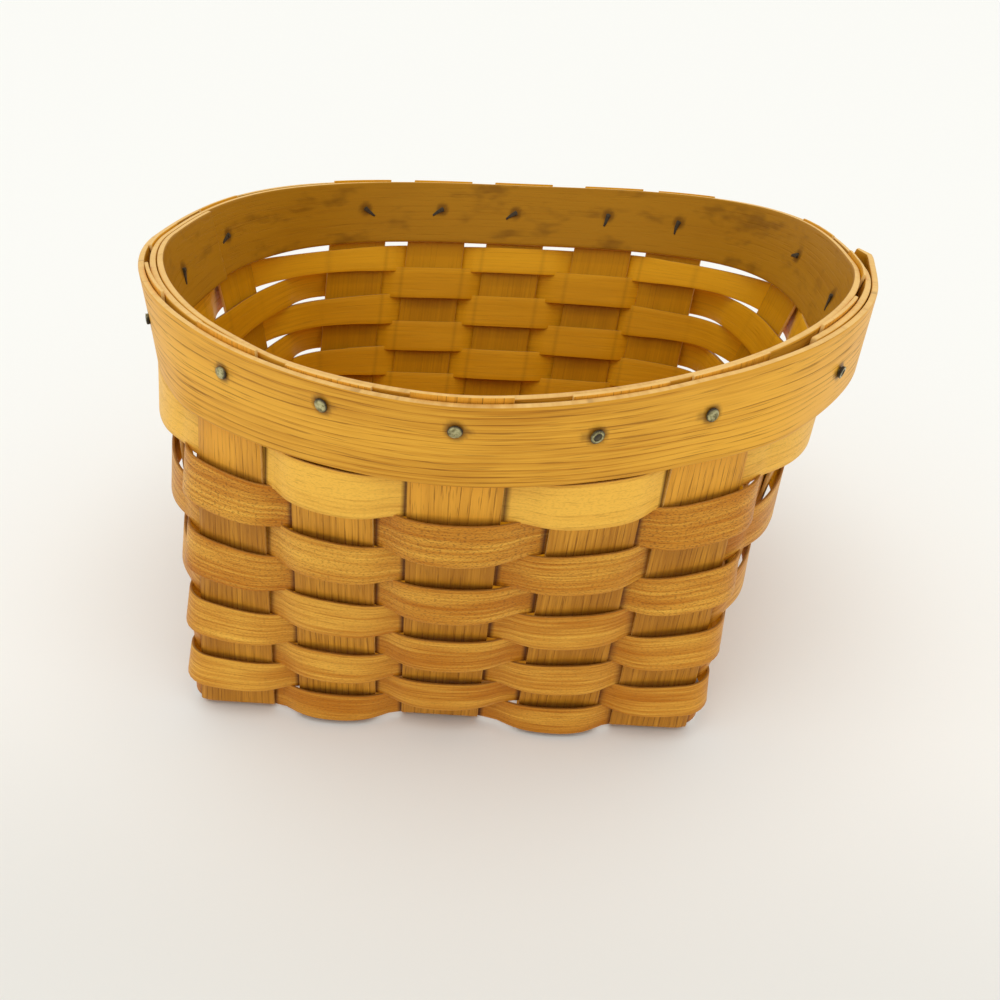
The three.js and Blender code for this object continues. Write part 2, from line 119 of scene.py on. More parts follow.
class Shade:
    """A shader socket that takes part in Python expressions."""

    def __init__(self, tree: "ShaderTree", socket: bpy.types.NodeSocket) -> None:
        """Wraps a socket of a tree."""
        self.tree = tree
        self.socket = socket

    def _math(self, operation: str, *values: Any) -> "Shade":
        """Adds a Math node.

        Args:
            operation: The node's operation.
            values: Its inputs, as numbers or sockets.

        Returns:
            The node's result.
        """
        inputs = dict(enumerate(values))
        return self.tree.add("ShaderNodeMath", {"operation": operation}, inputs)

    def __add__(self, other: Any) -> "Shade":
        """Adds."""
        return self._math("ADD", self, other)

    __radd__ = __add__

    def __sub__(self, other: Any) -> "Shade":
        """Takes away."""
        return self._math("SUBTRACT", self, other)

    def __rsub__(self, other: Any) -> "Shade":
        """Is taken away from a number."""
        return self._math("SUBTRACT", other, self)

    def __mul__(self, other: Any) -> "Shade":
        """Multiplies."""
        return self._math("MULTIPLY", self, other)

    __rmul__ = __mul__

    def __truediv__(self, other: Any) -> "Shade":
        """Divides."""
        return self._math("DIVIDE", self, other)

    def __rtruediv__(self, other: Any) -> "Shade":
        """Divides a number."""
        return self._math("DIVIDE", other, self)

    def __pow__(self, other: Any) -> "Shade":
        """Raises to a power."""
        return self._math("POWER", self, other)

    def __rpow__(self, other: Any) -> "Shade":
        """Is the power that a number is raised to."""
        return self._math("POWER", other, self)

    def __abs__(self) -> "Shade":
        """Drops the sign."""
        return self._math("ABSOLUTE", self)

    def fraction(self) -> "Shade":
        """Keeps what follows the decimal point."""
        return self._math("FRACT", self)

    def between(self, low: float, high: float) -> "Shade":
        """Eases from 0 at a low value to 1 at a high one.

        Args:
            low: The value that gives 0.
            high: The value that gives 1.

        Returns:
            The eased share.
        """
        settings = {"interpolation_type": "SMOOTHSTEP", "clamp": True}
        inputs = {"Value": self, "From Min": low, "From Max": high}
        return self.tree.add("ShaderNodeMapRange", settings, inputs)


class ShaderTree:
    """The node tree of one material."""

    def __init__(self, name: str) -> None:
        """Starts a material with a Principled shader.

        Args:
            name: The material's name.
        """
        self.material = bpy.data.materials.new(name)
        self.material.use_nodes = True
        self.nodes = self.material.node_tree.nodes
        self.links = self.material.node_tree.links
        self.shader = self.nodes["Principled BSDF"]

    def set(self, socket: bpy.types.NodeSocket, value: Any) -> None:
        """Sets a socket to a number or colour, or links another socket to it.

        Args:
            socket: The socket to set.
            value: What it takes.
        """
        if isinstance(value, Shade):
            self.links.new(value.socket, socket)
        elif isinstance(value, tuple) and socket.type == "RGBA":
            socket.default_value = (*value, 1.0)
        else:
            socket.default_value = value

    def add(self, kind: str, settings: dict[str, Any], inputs: dict[Any, Any],
            output: Any = 0) -> Shade:
        """Adds a node.

        Args:
            kind: The node's type.
            settings: Its own settings, set first.
            inputs: Values or sockets by the name or number of its inputs.
            output: The name or number of the output that is wanted.

        Returns:
            That output.
        """
        node = self.nodes.new(kind)
        for key, value in settings.items():
            setattr(node, key, value)
        for key, value in inputs.items():
            self.set(node.inputs[key], value)
        return Shade(self, node.outputs[output])

    def mix(self, share: Any, first: Any, second: Any, blend: str = "MIX") -> Shade:
        """Mixes two colours.

        Args:
            share: How much of the second colour shows.
            first: The colour underneath.
            second: The colour on top.
            blend: The way that they mix.

        Returns:
            The mixed colour.
        """
        settings = {"data_type": "RGBA", "blend_type": blend}
        return self.add("ShaderNodeMix", settings, {0: share, 6: first, 7: second}, 2)

    def noise(self, place: Shade, detail: float = 2.0, roughness: float = 0.5) -> Shade:
        """Adds a noise of scale 1 at a place.

        Args:
            place: The vector that it reads.
            detail: How many finer layers it has.
            roughness: How strong these are.

        Returns:
            A value about NOISE_MIDDLE.
        """
        inputs = {"Vector": place, "Scale": 1.0, "Detail": detail, "Roughness": roughness}
        return self.add("ShaderNodeTexNoise", {}, inputs, "Fac")

    def vector(self, x: Any, y: Any, z: Any = 0.0) -> Shade:
        """Joins three values into a vector."""
        return self.add("ShaderNodeCombineXYZ", {}, {0: x, 1: y, 2: z})

    def attribute(self, name: str) -> Shade:
        """Reads a number that the piece's vertices carry."""
        return self.add("ShaderNodeAttribute", {"attribute_name": name}, {}, "Fac")

    def uv(self) -> tuple[Shade, Shade]:
        """Reads the place on a splint.

        Returns:
            The distances along and across it, in metres.
        """
        place = self.add("ShaderNodeUVMap", {"uv_map": "UVMap"}, {})
        along = self.add("ShaderNodeSeparateXYZ", {}, {0: place}, "X")
        across = self.add("ShaderNodeSeparateXYZ", {}, {0: place}, "Y")
        return along, across

    def object_place(self) -> Shade:
        """Reads the place on a piece in the part's frame."""
        return self.add("ShaderNodeTexCoord", {}, {}, "Object")

    def scaled_place(self, scale: float) -> Shade:
        """Reads the place on a piece, times a scale."""
        settings = {"operation": "SCALE"}
        return self.add("ShaderNodeVectorMath", settings, {0: self.object_place(), "Scale": scale})

    def bump(self, height: Shade, strength: float, distance: float) -> Shade:
        """Turns a height into a normal."""
        inputs = {"Height": height, "Strength": strength, "Distance": distance}
        return self.add("ShaderNodeBump", {}, inputs)

    def dress(self, inputs: dict[str, Any]) -> bpy.types.Material:
        """Sets inputs of the shader.

        Args:
            inputs: Values or sockets by the inputs' names.

        Returns:
            The material.
        """
        for name, value in inputs.items():
            self.set(self.shader.inputs[name], value)
        return self.material


@dataclass(frozen=True)
class Streaks:
    """A noise stretched along a splint: its waves in a metre, and a layer that sets it apart from others."""

    along: float
    across: float
    layer: float = 0.0
    detail: float = 2.0
    roughness: float = 0.5
    limits: Limits | None = None

    def draw(self, tree: ShaderTree, place: tuple[Shade, Shade]) -> Shade:
        """Adds the noise to a material.

        Args:
            tree: The material's tree.
            place: The distances along and across the splint.

        Returns:
            The noise, eased from 0 to 1 where it has limits.
        """
        along, across = place
        noise = tree.noise(
            tree.vector(along * self.along, across * self.across, self.layer), self.detail, self.roughness)
        return noise.between(*self.limits) if self.limits else noise


BROAD_BANDS = Streaks(9.0, 120.0)
FIBRES = Streaks(32.0, 1150.0, 0.0, 2.5, 0.6)
CLOUDS = Streaks(38.0, 60.0, 3.0)
FLECKS = Streaks(1100.0, 2600.0, 7.0, 1.0, 0.5, (0.50, 0.66))
RING_WANDER = Streaks(7.0, 45.0, 11.0)
RING_CLEARNESS = Streaks(14.0, 110.0, 17.0, 2.0, 0.5, (0.25, 0.52))
SMUDGES = Streaks(34.0, 75.0, 21.0, 3.0, 0.65, (0.52, 0.70))
PORES = {
    Grain.PORED: Streaks(120.0, 2900.0, 5.0, 1.5, 0.55),
    Grain.LINED: Streaks(55.0, 2000.0, 5.0, 1.5, 0.55),
    Grain.FLECKED: Streaks(230.0, 2300.0, 5.0, 1.5, 0.55),
}
EDGE_FIBRES = Streaks(420.0, 300.0, 0.0, 2.0, 0.65)
EDGE_DIRT = Streaks(190.0, 200.0, 9.0, 2.0, 0.6, (0.60, 0.72))


@dataclass(frozen=True)
class WoodFinish:
    """Varnished split ash, with its growth lines, pores and flecks along the splint."""

    name: str
    grain: Grain
    pale: Colour
    deep: Colour
    pore: Colour = (0.15, 0.045, 0.004)
    # Dark colour of the real stains round the tacks and of the smudges, and of the painted shade behind the
    # rows and in the slits.
    stain_and_shade: Colour = (0.070, 0.016, 0.001)
    line_spacing: float = 2.4 * MM
    line_strength: float = 0.5
    line_sharpness: float = 6.0
    line_wander: float = 5.0
    pore_strength: float = 0.6
    pore_crowding: float = 0.22
    pore_limits: Limits = (0.60, 0.74)
    fleck_strength: float = 0.0
    edge_strength: float = 0.30
    edge_limits: Limits = (0.80, 1.0)
    # How strongly the stain attribute shows: it holds real stains and painted shade.
    darkening: float = 1.0
    smudge: float = 0.0
    depth: float = 0.30
    depth_limits: Limits = (-0.1, 1.1)
    broad_depth: float = 1.1
    fibre_depth: float = 1.2
    cloud_depth: float = 0.5
    roughness: float = 0.44
    fibre_roughness: float = 0.14
    pore_roughness: float = 0.16
    specular: float = 0.20
    coat: float = 0.05
    coat_roughness: float = 0.32
    bump: float = 0.25
    bump_height: float = 0.3 * MM
    fibre_relief: float = 0.5
    pore_relief: float = 0.8
    line_relief: float = 0.25

    def material(self) -> bpy.types.Material:
        """Builds the finish.

        Returns:
            The material.
        """
        tree = ShaderTree(self.name)
        place = tree.uv()
        fibre = FIBRES.draw(tree, place)
        ring = self.rings(tree, place)
        pores = self.pores(tree, place, ring)
        depth = (BROAD_BANDS.draw(tree, place) - NOISE_MIDDLE) * self.broad_depth
        depth = depth + (fibre - NOISE_MIDDLE) * self.fibre_depth
        depth = depth + (CLOUDS.draw(tree, place) - NOISE_MIDDLE) * self.cloud_depth
        depth = depth + ring * self.line_strength + self.depth + tree.attribute("tone")
        flecks = FLECKS.draw(tree, place) * tree.attribute("fleck")
        edge = abs(tree.attribute("across")).between(*self.edge_limits)
        colour = tree.mix(depth.between(*self.depth_limits), self.pale, self.deep)
        colour = tree.mix(pores * self.pore_strength, colour, self.pore)
        colour = tree.mix(flecks * self.fleck_strength, colour, self.pore)
        colour = tree.mix(edge * self.edge_strength, colour, self.deep)
        # Real stains round the tacks, and painted shade behind the rows' upper edges and in the slits beside
        # the uprights.
        colour = tree.mix(tree.attribute("stain_and_shade") * self.darkening, colour, self.stain_and_shade)
        if self.smudge:
            colour = tree.mix(SMUDGES.draw(tree, place) * self.smudge, colour, self.stain_and_shade)
        smoothest = self.roughness - self.fibre_roughness * NOISE_MIDDLE
        relief = fibre * self.fibre_relief - pores * self.pore_relief - ring * self.line_relief
        return tree.dress({
            "Base Color": colour,
            "Roughness": fibre * self.fibre_roughness + pores * self.pore_roughness + smoothest,
            "Specular IOR Level": self.specular,
            "Coat Weight": self.coat,
            "Coat Roughness": self.coat_roughness,
            "Normal": tree.bump(relief, self.bump, self.bump_height),
        })

    def rings(self, tree: ShaderTree, place: tuple[Shade, Shade]) -> Shade:
        """Draws the growth rings' darker side as long lines along the splint.

        Args:
            tree: The material's tree.
            place: The distances along and across the splint.

        Returns:
            1 in the dark side of a ring, falling off across it.
        """
        wander = RING_WANDER.draw(tree, place) * self.line_wander
        phase = (place[1] / self.line_spacing + wander).fraction()
        return (1.0 - phase) ** self.line_sharpness * RING_CLEARNESS.draw(tree, place)

    def pores(self, tree: ShaderTree, place: tuple[Shade, Shade], ring: Shade) -> Shade:
        """Draws the dark open pores, which crowd in the rings' dark side.

        Args:
            tree: The material's tree.
            place: The distances along and across the splint.
            ring: The rings' darkness.

        Returns:
            1 in a pore.
        """
        dashes = PORES[self.grain].draw(tree, place)
        return (dashes + ring * self.pore_crowding).between(*self.pore_limits)


@dataclass(frozen=True)
class CutEdge:
    """The cut edges of a splint: paler wood with fine fibre ends and dark dirt in places."""

    name: str
    pale: Colour
    deep: Colour
    darkening: Colour = (0.20, 0.085, 0.016)
    dirt_strength: float = 0.35
    depth: float = 0.4
    depth_change: float = 0.9
    cloud_scale: float = 60.0
    roughness: float = 0.55
    fibre_roughness: float = 0.2
    bump: float = 0.3
    bump_height: float = 0.25 * MM

    def material(self) -> bpy.types.Material:
        """Builds the finish.

        Returns:
            The material.
        """
        tree = ShaderTree(self.name)
        place = tree.uv()
        fine = EDGE_FIBRES.draw(tree, place)
        soft = tree.noise(tree.scaled_place(self.cloud_scale))
        depth = (fine - NOISE_MIDDLE) * self.depth_change + (soft - NOISE_MIDDLE) * self.depth_change
        depth = depth + self.depth + tree.attribute("tone")
        colour = tree.mix(depth.between(0.0, 1.0), self.pale, self.deep)
        colour = tree.mix(EDGE_DIRT.draw(tree, place) * self.dirt_strength, colour, self.darkening)
        smoothest = self.roughness - self.fibre_roughness * NOISE_MIDDLE
        return tree.dress({
            "Base Color": colour,
            "Roughness": fine * self.fibre_roughness + smoothest,
            "Normal": tree.bump(fine, self.bump, self.bump_height),
        })


@dataclass(frozen=True)
class TackFinish:
    """Tarnished steel: bronze-grey on the struck face, near black on the shank and as painted shade round it.
    """

    name: str = "tarnished_tack_steel"
    bright: Colour = (0.58, 0.54, 0.28)
    dull: Colour = (0.21, 0.18, 0.07)
    dark: Colour = (0.030, 0.018, 0.008)
    spot_scale: float = 900.0
    spot_detail: float = 3.0
    spot_grit: float = 0.6
    spot_limits: Limits = (0.38, 0.66)
    roughness: float = 0.22
    spot_roughness: float = 0.25
    edge_shade_and_shank_roughness: float = 0.3
    metal: float = 0.6
    edge_shade_and_shank_metal_loss: float = 0.5
    bump: float = 0.25
    bump_height: float = 0.15 * MM

    def material(self) -> bpy.types.Material:
        """Builds the finish.

        Returns:
            The material.
        """
        tree = ShaderTree(self.name)
        spots = tree.noise(tree.scaled_place(self.spot_scale), self.spot_detail, self.spot_grit)
        # Painted shade round the head's face, and the dark shank below it.
        edge_shade_and_shank = tree.attribute("edge_shade_and_shank")
        colour = tree.mix(spots.between(*self.spot_limits), self.bright, self.dull)
        return tree.dress({
            "Base Color": tree.mix(edge_shade_and_shank, colour, self.dark),
            "Roughness": spots * self.spot_roughness + edge_shade_and_shank * self.edge_shade_and_shank_roughness + self.roughness,
            "Metallic": self.metal - edge_shade_and_shank * self.edge_shade_and_shank_metal_loss,
            "Normal": tree.bump(spots, self.bump, self.bump_height),
        })


@dataclass(frozen=True)
class FloorFinish:
    """Pale warm card, with painted shade that makes it a little greyer in the foreground."""

    name: str = "pale_floor"
    far: Colour = (0.91, 0.925, 0.91)
    # Painted shade: the card is drawn greyer towards the camera.
    near: Colour = (0.80, 0.81, 0.79)
    fade: Limits = (-0.19, -0.07)
    roughness: float = 0.9
    specular: float = 0.1

    def material(self) -> bpy.types.Material:
        """Builds the finish.

        Returns:
            The material.
        """
        tree = ShaderTree(self.name)
        back = tree.add("ShaderNodeSeparateXYZ", {}, {0: tree.object_place()}, "Y")
        return tree.dress({
            "Base Color": tree.mix(back.between(*self.fade), self.near, self.far),
            "Roughness": self.roughness,
            "Specular IOR Level": self.specular,
        })


@dataclass(frozen=True)
class SplintLook:
    """The finishes of a splint's two faces and of its cut edges."""

    outside: bpy.types.Material
    inside: bpy.types.Material
    edge: bpy.types.Material


# The wall that the splints follow


@dataclass
class BasketWall:
    """The ruled wall between a rounded rectangular base and an oval rim, at the middle of the stakes."""

    stake_width: float = 25.4 * MM
    cross_spaces: tuple[float, ...] = (8.8 * MM, 8.6 * MM, 12.8 * MM, 5.4 * MM)
    cross_spread: float = 1.45 * MM
    long_spaces: tuple[float, ...] = (20.6 * MM, 20.6 * MM)
    long_spread: float = -1.5 * MM
    bend: float = 2.5 * MM
    crossing_margin: float = 0.5 * MM
    end_margin: float = 0.4 * MM
    front_margin: float = 15.3 * MM
    corner: float = 8.0 * MM
    twist: float = math.radians(1.5)
    flare_ends: float = 30.0 * MM
    flare_front: float = 32.0 * MM
    lean: tuple[float, float] = (12.9 * MM, 10.0 * MM)
    saddle: float = 3.4 * MM
    widest_front: float = 8.8 * MM
    squareness: tuple[float, float] = (1.78, 2.65)
    level: float = 1.25 * MM
    front_wall: float = 129.15 * MM
    middle: tuple[float, float] = (-2.194 * MM, 0.174 * MM)
    corner_steps: int = 25
    rim_steps: int = 1201
    uprights: int = field(init=False)
    base_length: float = field(init=False)
    base_depth: float = field(init=False)
    rim_length: float = field(init=False)
    rim_depth: float = field(init=False)
    rim_height: float = field(init=False)

    def __post_init__(self) -> None:
        """Works out the two outlines and the uprights' places on them."""
        cross = len(self.cross_spaces) + 1
        long = len(self.long_spaces) + 1
        self.uprights = 2 * (cross + long)
        room = self.bend + self.crossing_margin
        cross_row = cross * self.stake_width + sum(self.cross_spaces)
        long_row = long * self.stake_width + sum(self.long_spaces)
        self.base_length = cross_row + 2 * (self.end_margin + room)
        self.base_depth = long_row + 2 * (self.front_margin + room)
        self.rim_length = self.base_length + 2 * self.flare_ends
        self.rim_depth = self.base_depth + 2 * self.flare_front
        rise = math.sqrt(self.front_wall ** 2 - (self.flare_front - self.lean[1]) ** 2)
        self.rim_height = self.level + rise + self.saddle
        self._base = self._base_outline()
        self._rim = self._rim_outline()
        self._base_run = distances(self._base)
        self._rim_run = distances(self._rim)
        quarters = [0.0, 0.25, 0.5, 0.75]
        base_mids = [share * self._base_run[-1] for share in quarters]
        rim_mids = [self._rim_run[round(share * (len(self._rim) - 1))] for share in quarters]
        self._base_places = self._places(base_mids, 0.0, 0.0)
        self._rim_places = self._places(rim_mids, self.cross_spread, self.long_spread)

    def _base_outline(self) -> np.ndarray:
        """Walks the base's edge counter-clockwise from the middle of its front.

        Returns:
            Flat points, the last at the first.
        """
        x = self.base_length / 2 - self.corner
        y = self.base_depth / 2 - self.corner
        points = [(0.0, -self.base_depth / 2)]
        for centre_x, centre_y, start in ((x, -y, -90), (x, y, 0), (-x, y, 90), (-x, -y, 180)):
            for angle in np.radians(np.linspace(start, start + 90, self.corner_steps)):
                reach_x, reach_y = self.corner * math.cos(angle), self.corner * math.sin(angle)
                points.append((centre_x + reach_x, centre_y + reach_y))
        points.append((0.0, -self.base_depth / 2))
        return np.array(points)

    def _rim_outline(self) -> np.ndarray:
        """Walks the rim counter-clockwise from the middle of its front.

        Returns:
            Points, the last at the first.
        """
        angle = 2 * np.pi * np.linspace(0, 1, self.rim_steps) - np.pi / 2
        across, deep = np.cos(angle), np.sin(angle)
        power = 2 / np.where(deep < 0, *self.squareness)
        reach = self.rim_depth / 2 + np.where(deep < 0, -self.widest_front, self.widest_front)
        x = np.sign(across) * np.abs(across) ** power * self.rim_length / 2
        y = np.sign(deep) * np.abs(deep) ** power * reach - self.widest_front
        end_share, back_share = 2 * x / self.rim_length, 2 * y / self.rim_depth
        z = self.rim_height + self.saddle * (end_share ** 2 - back_share ** 2)
        return np.stack([x, y, z], -1)

    def middles(self, spaces: Sequence[float], spread: float) -> np.ndarray:
        """Finds the middles of a row of stakes from the row's own middle.

        Args:
            spaces: The spaces between the stakes.
            spread: What is added to each space.

        Returns:
            The places of the stakes' middles.
        """
        steps = [self.stake_width + space + spread for space in spaces]
        places = np.concatenate([[0.0], np.cumsum(steps)])
        return places - places[-1] / 2

    def _places(self, mids: Sequence[float], cross_spread: float, long_spread: float) -> np.ndarray:
        """Finds the uprights' places along an outline.

        Args:
            mids: The places of the four sides' middles.
            cross_spread: What is added to each space between the cross stakes.
            long_spread: What is added to each space between the long stakes.

        Returns:
            One place for each upright.
        """
        cross = self.middles(self.cross_spaces, cross_spread)
        long = self.middles(self.long_spaces, long_spread)
        sides = [cross, long, -cross[::-1], -long[::-1]]
        return np.concatenate([mid + side for mid, side in zip(mids, sides)])

    def _place_at(self, places: np.ndarray, total: float, station: np.ndarray) -> np.ndarray:
        """Finds stations' places along an outline, running on past a whole turn.

        Args:
            places: The uprights' places along the outline.
            total: The outline's length.
            station: The stations.

        Returns:
            One place for each station.
        """
        index = np.floor(station).astype(int)
        first = places[index % self.uprights] + total * (index // self.uprights)
        after = index + 1
        second = places[after % self.uprights] + total * (after // self.uprights)
        return first + (second - first) * (station - index)

    def base_point(self, x: np.ndarray, y: np.ndarray, level: np.ndarray) -> np.ndarray:
        """Places a point of the base, which is turned a little against the rim.

        Args:
            x: Distance to the right of the base's middle.
            y: Distance behind it.
            level: Height over the ground.

        Returns:
            The points.
        """
        cos, sin = math.cos(self.twist), math.sin(self.twist)
        x, y, level = np.broadcast_arrays(x, y, level)
        return np.stack([
            x * cos - y * sin - self.lean[0] + self.middle[0],
            x * sin + y * cos - self.lean[1] + self.middle[1],
            level,
        ], -1)

    def point(self, station: Any, share: Any) -> np.ndarray:
        """Finds points of the wall.

        Args:
            station: Stations round the basket.
            share: Shares of the wall's height.

        Returns:
            One point for each pair.
        """
        station, share = np.broadcast_arrays(np.asarray(station, float), np.asarray(share, float))
        base_run, rim_run = self._base_run, self._rim_run
        at_base = np.mod(self._place_at(self._base_places, base_run[-1], station), base_run[-1])
        at_rim = np.mod(self._place_at(self._rim_places, rim_run[-1], station), rim_run[-1])
        foot_x, foot_y = (np.interp(at_base, base_run, self._base[:, axis]) for axis in (0, 1))
        foot = self.base_point(foot_x, foot_y, np.full(station.shape, self.level))
        top = np.stack([np.interp(at_rim, rim_run, self._rim[:, axis]) for axis in (0, 1, 2)], -1)
        top = top + np.array([*self.middle, 0.0])
        return foot + (top - foot) * share[..., None]

    def normal(self, station: Any, share: Any) -> np.ndarray:
        """Finds the wall's outward directions.

        Args:
            station: Stations round the basket.
            share: Shares of the wall's height.

        Returns:
            One unit vector for each pair.
        """
        step = 0.02
        around = self.point(station + step, share) - self.point(station - step, share)
        upward = self.point(station, share + step) - self.point(station, share - step)
        out = np.cross(around, upward)
        return out / np.linalg.norm(out, axis=-1, keepdims=True)

    def length(self, station: Any) -> np.ndarray:
        """Measures the wall from the base's edge to the rim."""
        return np.linalg.norm(self.point(station, 1.0) - self.point(station, 0.0), axis=-1)

    def beside(self, upright: int, offset: float, share: Any) -> np.ndarray:
        """Finds the station that lies to one side of an upright's middle.

        Args:
            upright: The upright's number.
            offset: Distance from its middle.
            share: Shares of the wall's height.

        Returns:
            One station for each share.
        """
        share = np.asarray(share, float)
        pair = np.array([float(upright), upright + math.copysign(1.0, offset)])
        base_pitch = abs(np.diff(self._place_at(self._base_places, self._base_run[-1], pair))[0])
        rim_pitch = abs(np.diff(self._place_at(self._rim_places, self._rim_run[-1], pair))[0])
        return upright + offset / (base_pitch + (rim_pitch - base_pitch) * share)


# Splints


@dataclass
class Splint:
    """One flat strip of wood that follows rows of points."""

    name: str
    slot: WoodSlot
    rows: np.ndarray
    thickness: float
    rounding: float
    tone: float = 0.0
    fleck: float = 0.0
    seed: int = 0
    tones: np.ndarray | None = None
    # Real stains and painted shade at each point, read by the finish as its stain attribute.
    stains_and_shade: np.ndarray | None = None
    grain_starts: Limits = (9.0, 3.0)
    edge_crease: float = 50.0
    smooth_crease: float = 55.0

    def build(self, look: SplintLook) -> bpy.types.Object:
        """Models the strip and hangs it on the part's frame.

        Args:
            look: Its finishes.

        Returns:
            The finished piece, which stands for the node of its name.
        """
        rows, columns = self.rows.shape[:2]
        bpy.ops.object.select_all(action="DESELECT")
        bpy.ops.mesh.primitive_grid_add(x_subdivisions=columns - 1, y_subdivisions=rows - 1, size=1.0)
        piece = bpy.context.active_object
        mesh = piece.data
        flat = np.zeros(len(mesh.vertices) * 3)
        mesh.vertices.foreach_get("co", flat)
        flat = flat.reshape(-1, 3)
        order = np.lexsort((flat[:, 0], flat[:, 1]))
        placed = np.zeros_like(flat)
        placed[order] = self.rows.reshape(-1, 3)
        mesh.vertices.foreach_set("co", placed.ravel())
        self._lay_grain(mesh, order)
        for finish in (look.outside, look.edge, look.inside):
            mesh.materials.append(finish)
        self._thicken(piece)
        hand_in(piece, self.name)
        return piece

    def _lay_grain(self, mesh: bpy.types.Mesh, order: np.ndarray) -> None:
        """Lays the grain's map in metres and the numbers that the finish reads.

        Args:
            mesh: The flat strip.
            order: The mesh's vertices in the order of the rows of points.
        """
        rows, columns = self.rows.shape[:2]
        middle = self.rows[:, columns // 2]
        along = distances(middle)
        width = distances(self.rows[rows // 2])
        chance = random.Random(self.seed)
        start = np.array([chance.uniform(0, limit) for limit in self.grain_starts])
        places = np.stack(np.broadcast_arrays(along[:, None], width[None, :]), -1)
        uv = np.zeros((rows * columns, 2))
        uv[order] = places.reshape(-1, 2) + start
        corners = np.zeros(len(mesh.loops), int)
        mesh.loops.foreach_get("vertex_index", corners)
        mesh.uv_layers[0].data.foreach_set("uv", uv[corners].ravel())
        mesh.uv_layers[0].name = "UVMap"
        across = np.broadcast_to(np.linspace(-1, 1, columns), (rows, columns))
        tones = np.full((rows, columns), self.tone)
        if self.tones is not None:
            tones = tones + self.tones
        stains_and_shade = np.zeros((rows, columns)) if self.stains_and_shade is None else self.stains_and_shade
        flecks = np.full((rows, columns), self.fleck)
        carried = {"across": across, "tone": tones, "fleck": flecks, "stain_and_shade": stains_and_shade}
        for name, values in carried.items():
            held = np.zeros(rows * columns)
            held[order] = values.ravel()
            mesh.attributes.new(name, "FLOAT", "POINT").data.foreach_set("value", held)

    def _thicken(self, piece: bpy.types.Object) -> None:
        """Gives the strip its thickness and rounds its edges.

        Args:
            piece: The flat strip.
        """
        bpy.context.view_layer.objects.active = piece
        solid = piece.modifiers.new("thickness", "SOLIDIFY")
        solid.thickness = self.thickness
        solid.offset = 0.0
        solid.use_even_offset = True
        solid.material_offset_rim = 1
        solid.material_offset = 2
        bpy.ops.object.modifier_apply(modifier=solid.name)
        round_edges(piece, self.rounding, segments=2, crease=self.edge_crease)
        bpy.ops.object.shade_smooth_by_angle(angle=math.radians(self.smooth_crease))


@dataclass
class RowPlan:
    """Where the woven rows lie on the wall: they crowd together towards the base at the front."""

    wall: BasketWall
    count: int = 9
    filled: Limits = (1.13, 1.05)
    fill_power: int = 4
    open_corners: float = 0.17
    crowding: float = 0.2
    sag: float = 1.0 * MM
    band_width: float = 25.4 * MM
    foot_gap: float = 2.5 * MM

    def front(self, station: Any) -> np.ndarray:
        """Tells how far to the front a station lies, from 0 at the back to 1."""
        return smooth(0.5 - self.wall.point(station, 1.0)[..., 1] / self.wall.rim_depth)

    def place(self, row: int, station: Any) -> tuple[np.ndarray, np.ndarray]:
        """Finds a row's place.

        Args:
            row: The row, from the top.
            station: Stations along it.

        Returns:
            How far its middle lies below the rim's top, and its width.
        """
        wall = self.wall
        front = self.front(station)
        woven = wall.length(station) - self.foot_gap - self.band_width
        reach = (row + 0.5) / self.count
        crowding = self.crowding * front
        drop = self.band_width + woven * (reach + crowding * reach * (1 - reach)) + self.sag * front
        pitch = woven / self.count * (1 + crowding * (1 - 2 * reach))
        side_fill, front_fill = self.filled
        fill = side_fill + (front_fill - side_fill) * front ** self.fill_power
        return drop, pitch * (fill - self.open_corners * self._back_corner(station))

    def _back_corner(self, station: Any) -> np.ndarray:
        """Tells how near stations lie to one of the back corners, where the rows stand apart.

        Args:
            station: The stations.

        Returns:
            One number for each, up to 1 at a corner.
        """
        wall = self.wall
        long = len(wall.long_spaces) + 1
        corner = wall.uprights / 2 - 0.5
        place = np.mod(station, wall.uprights)
        other_corner = corner + wall.uprights / 2 - long
        apart = np.minimum(np.abs(place - corner), np.abs(place - other_corner))
        return 1 - smooth(apart)

    @staticmethod
    def outside(row: int, upright: int) -> int:
        """Tells whether a row passes outside an upright: 1 where it does, and -1 where not."""
        return 1 if (row + upright) % 2 == 1 else -1


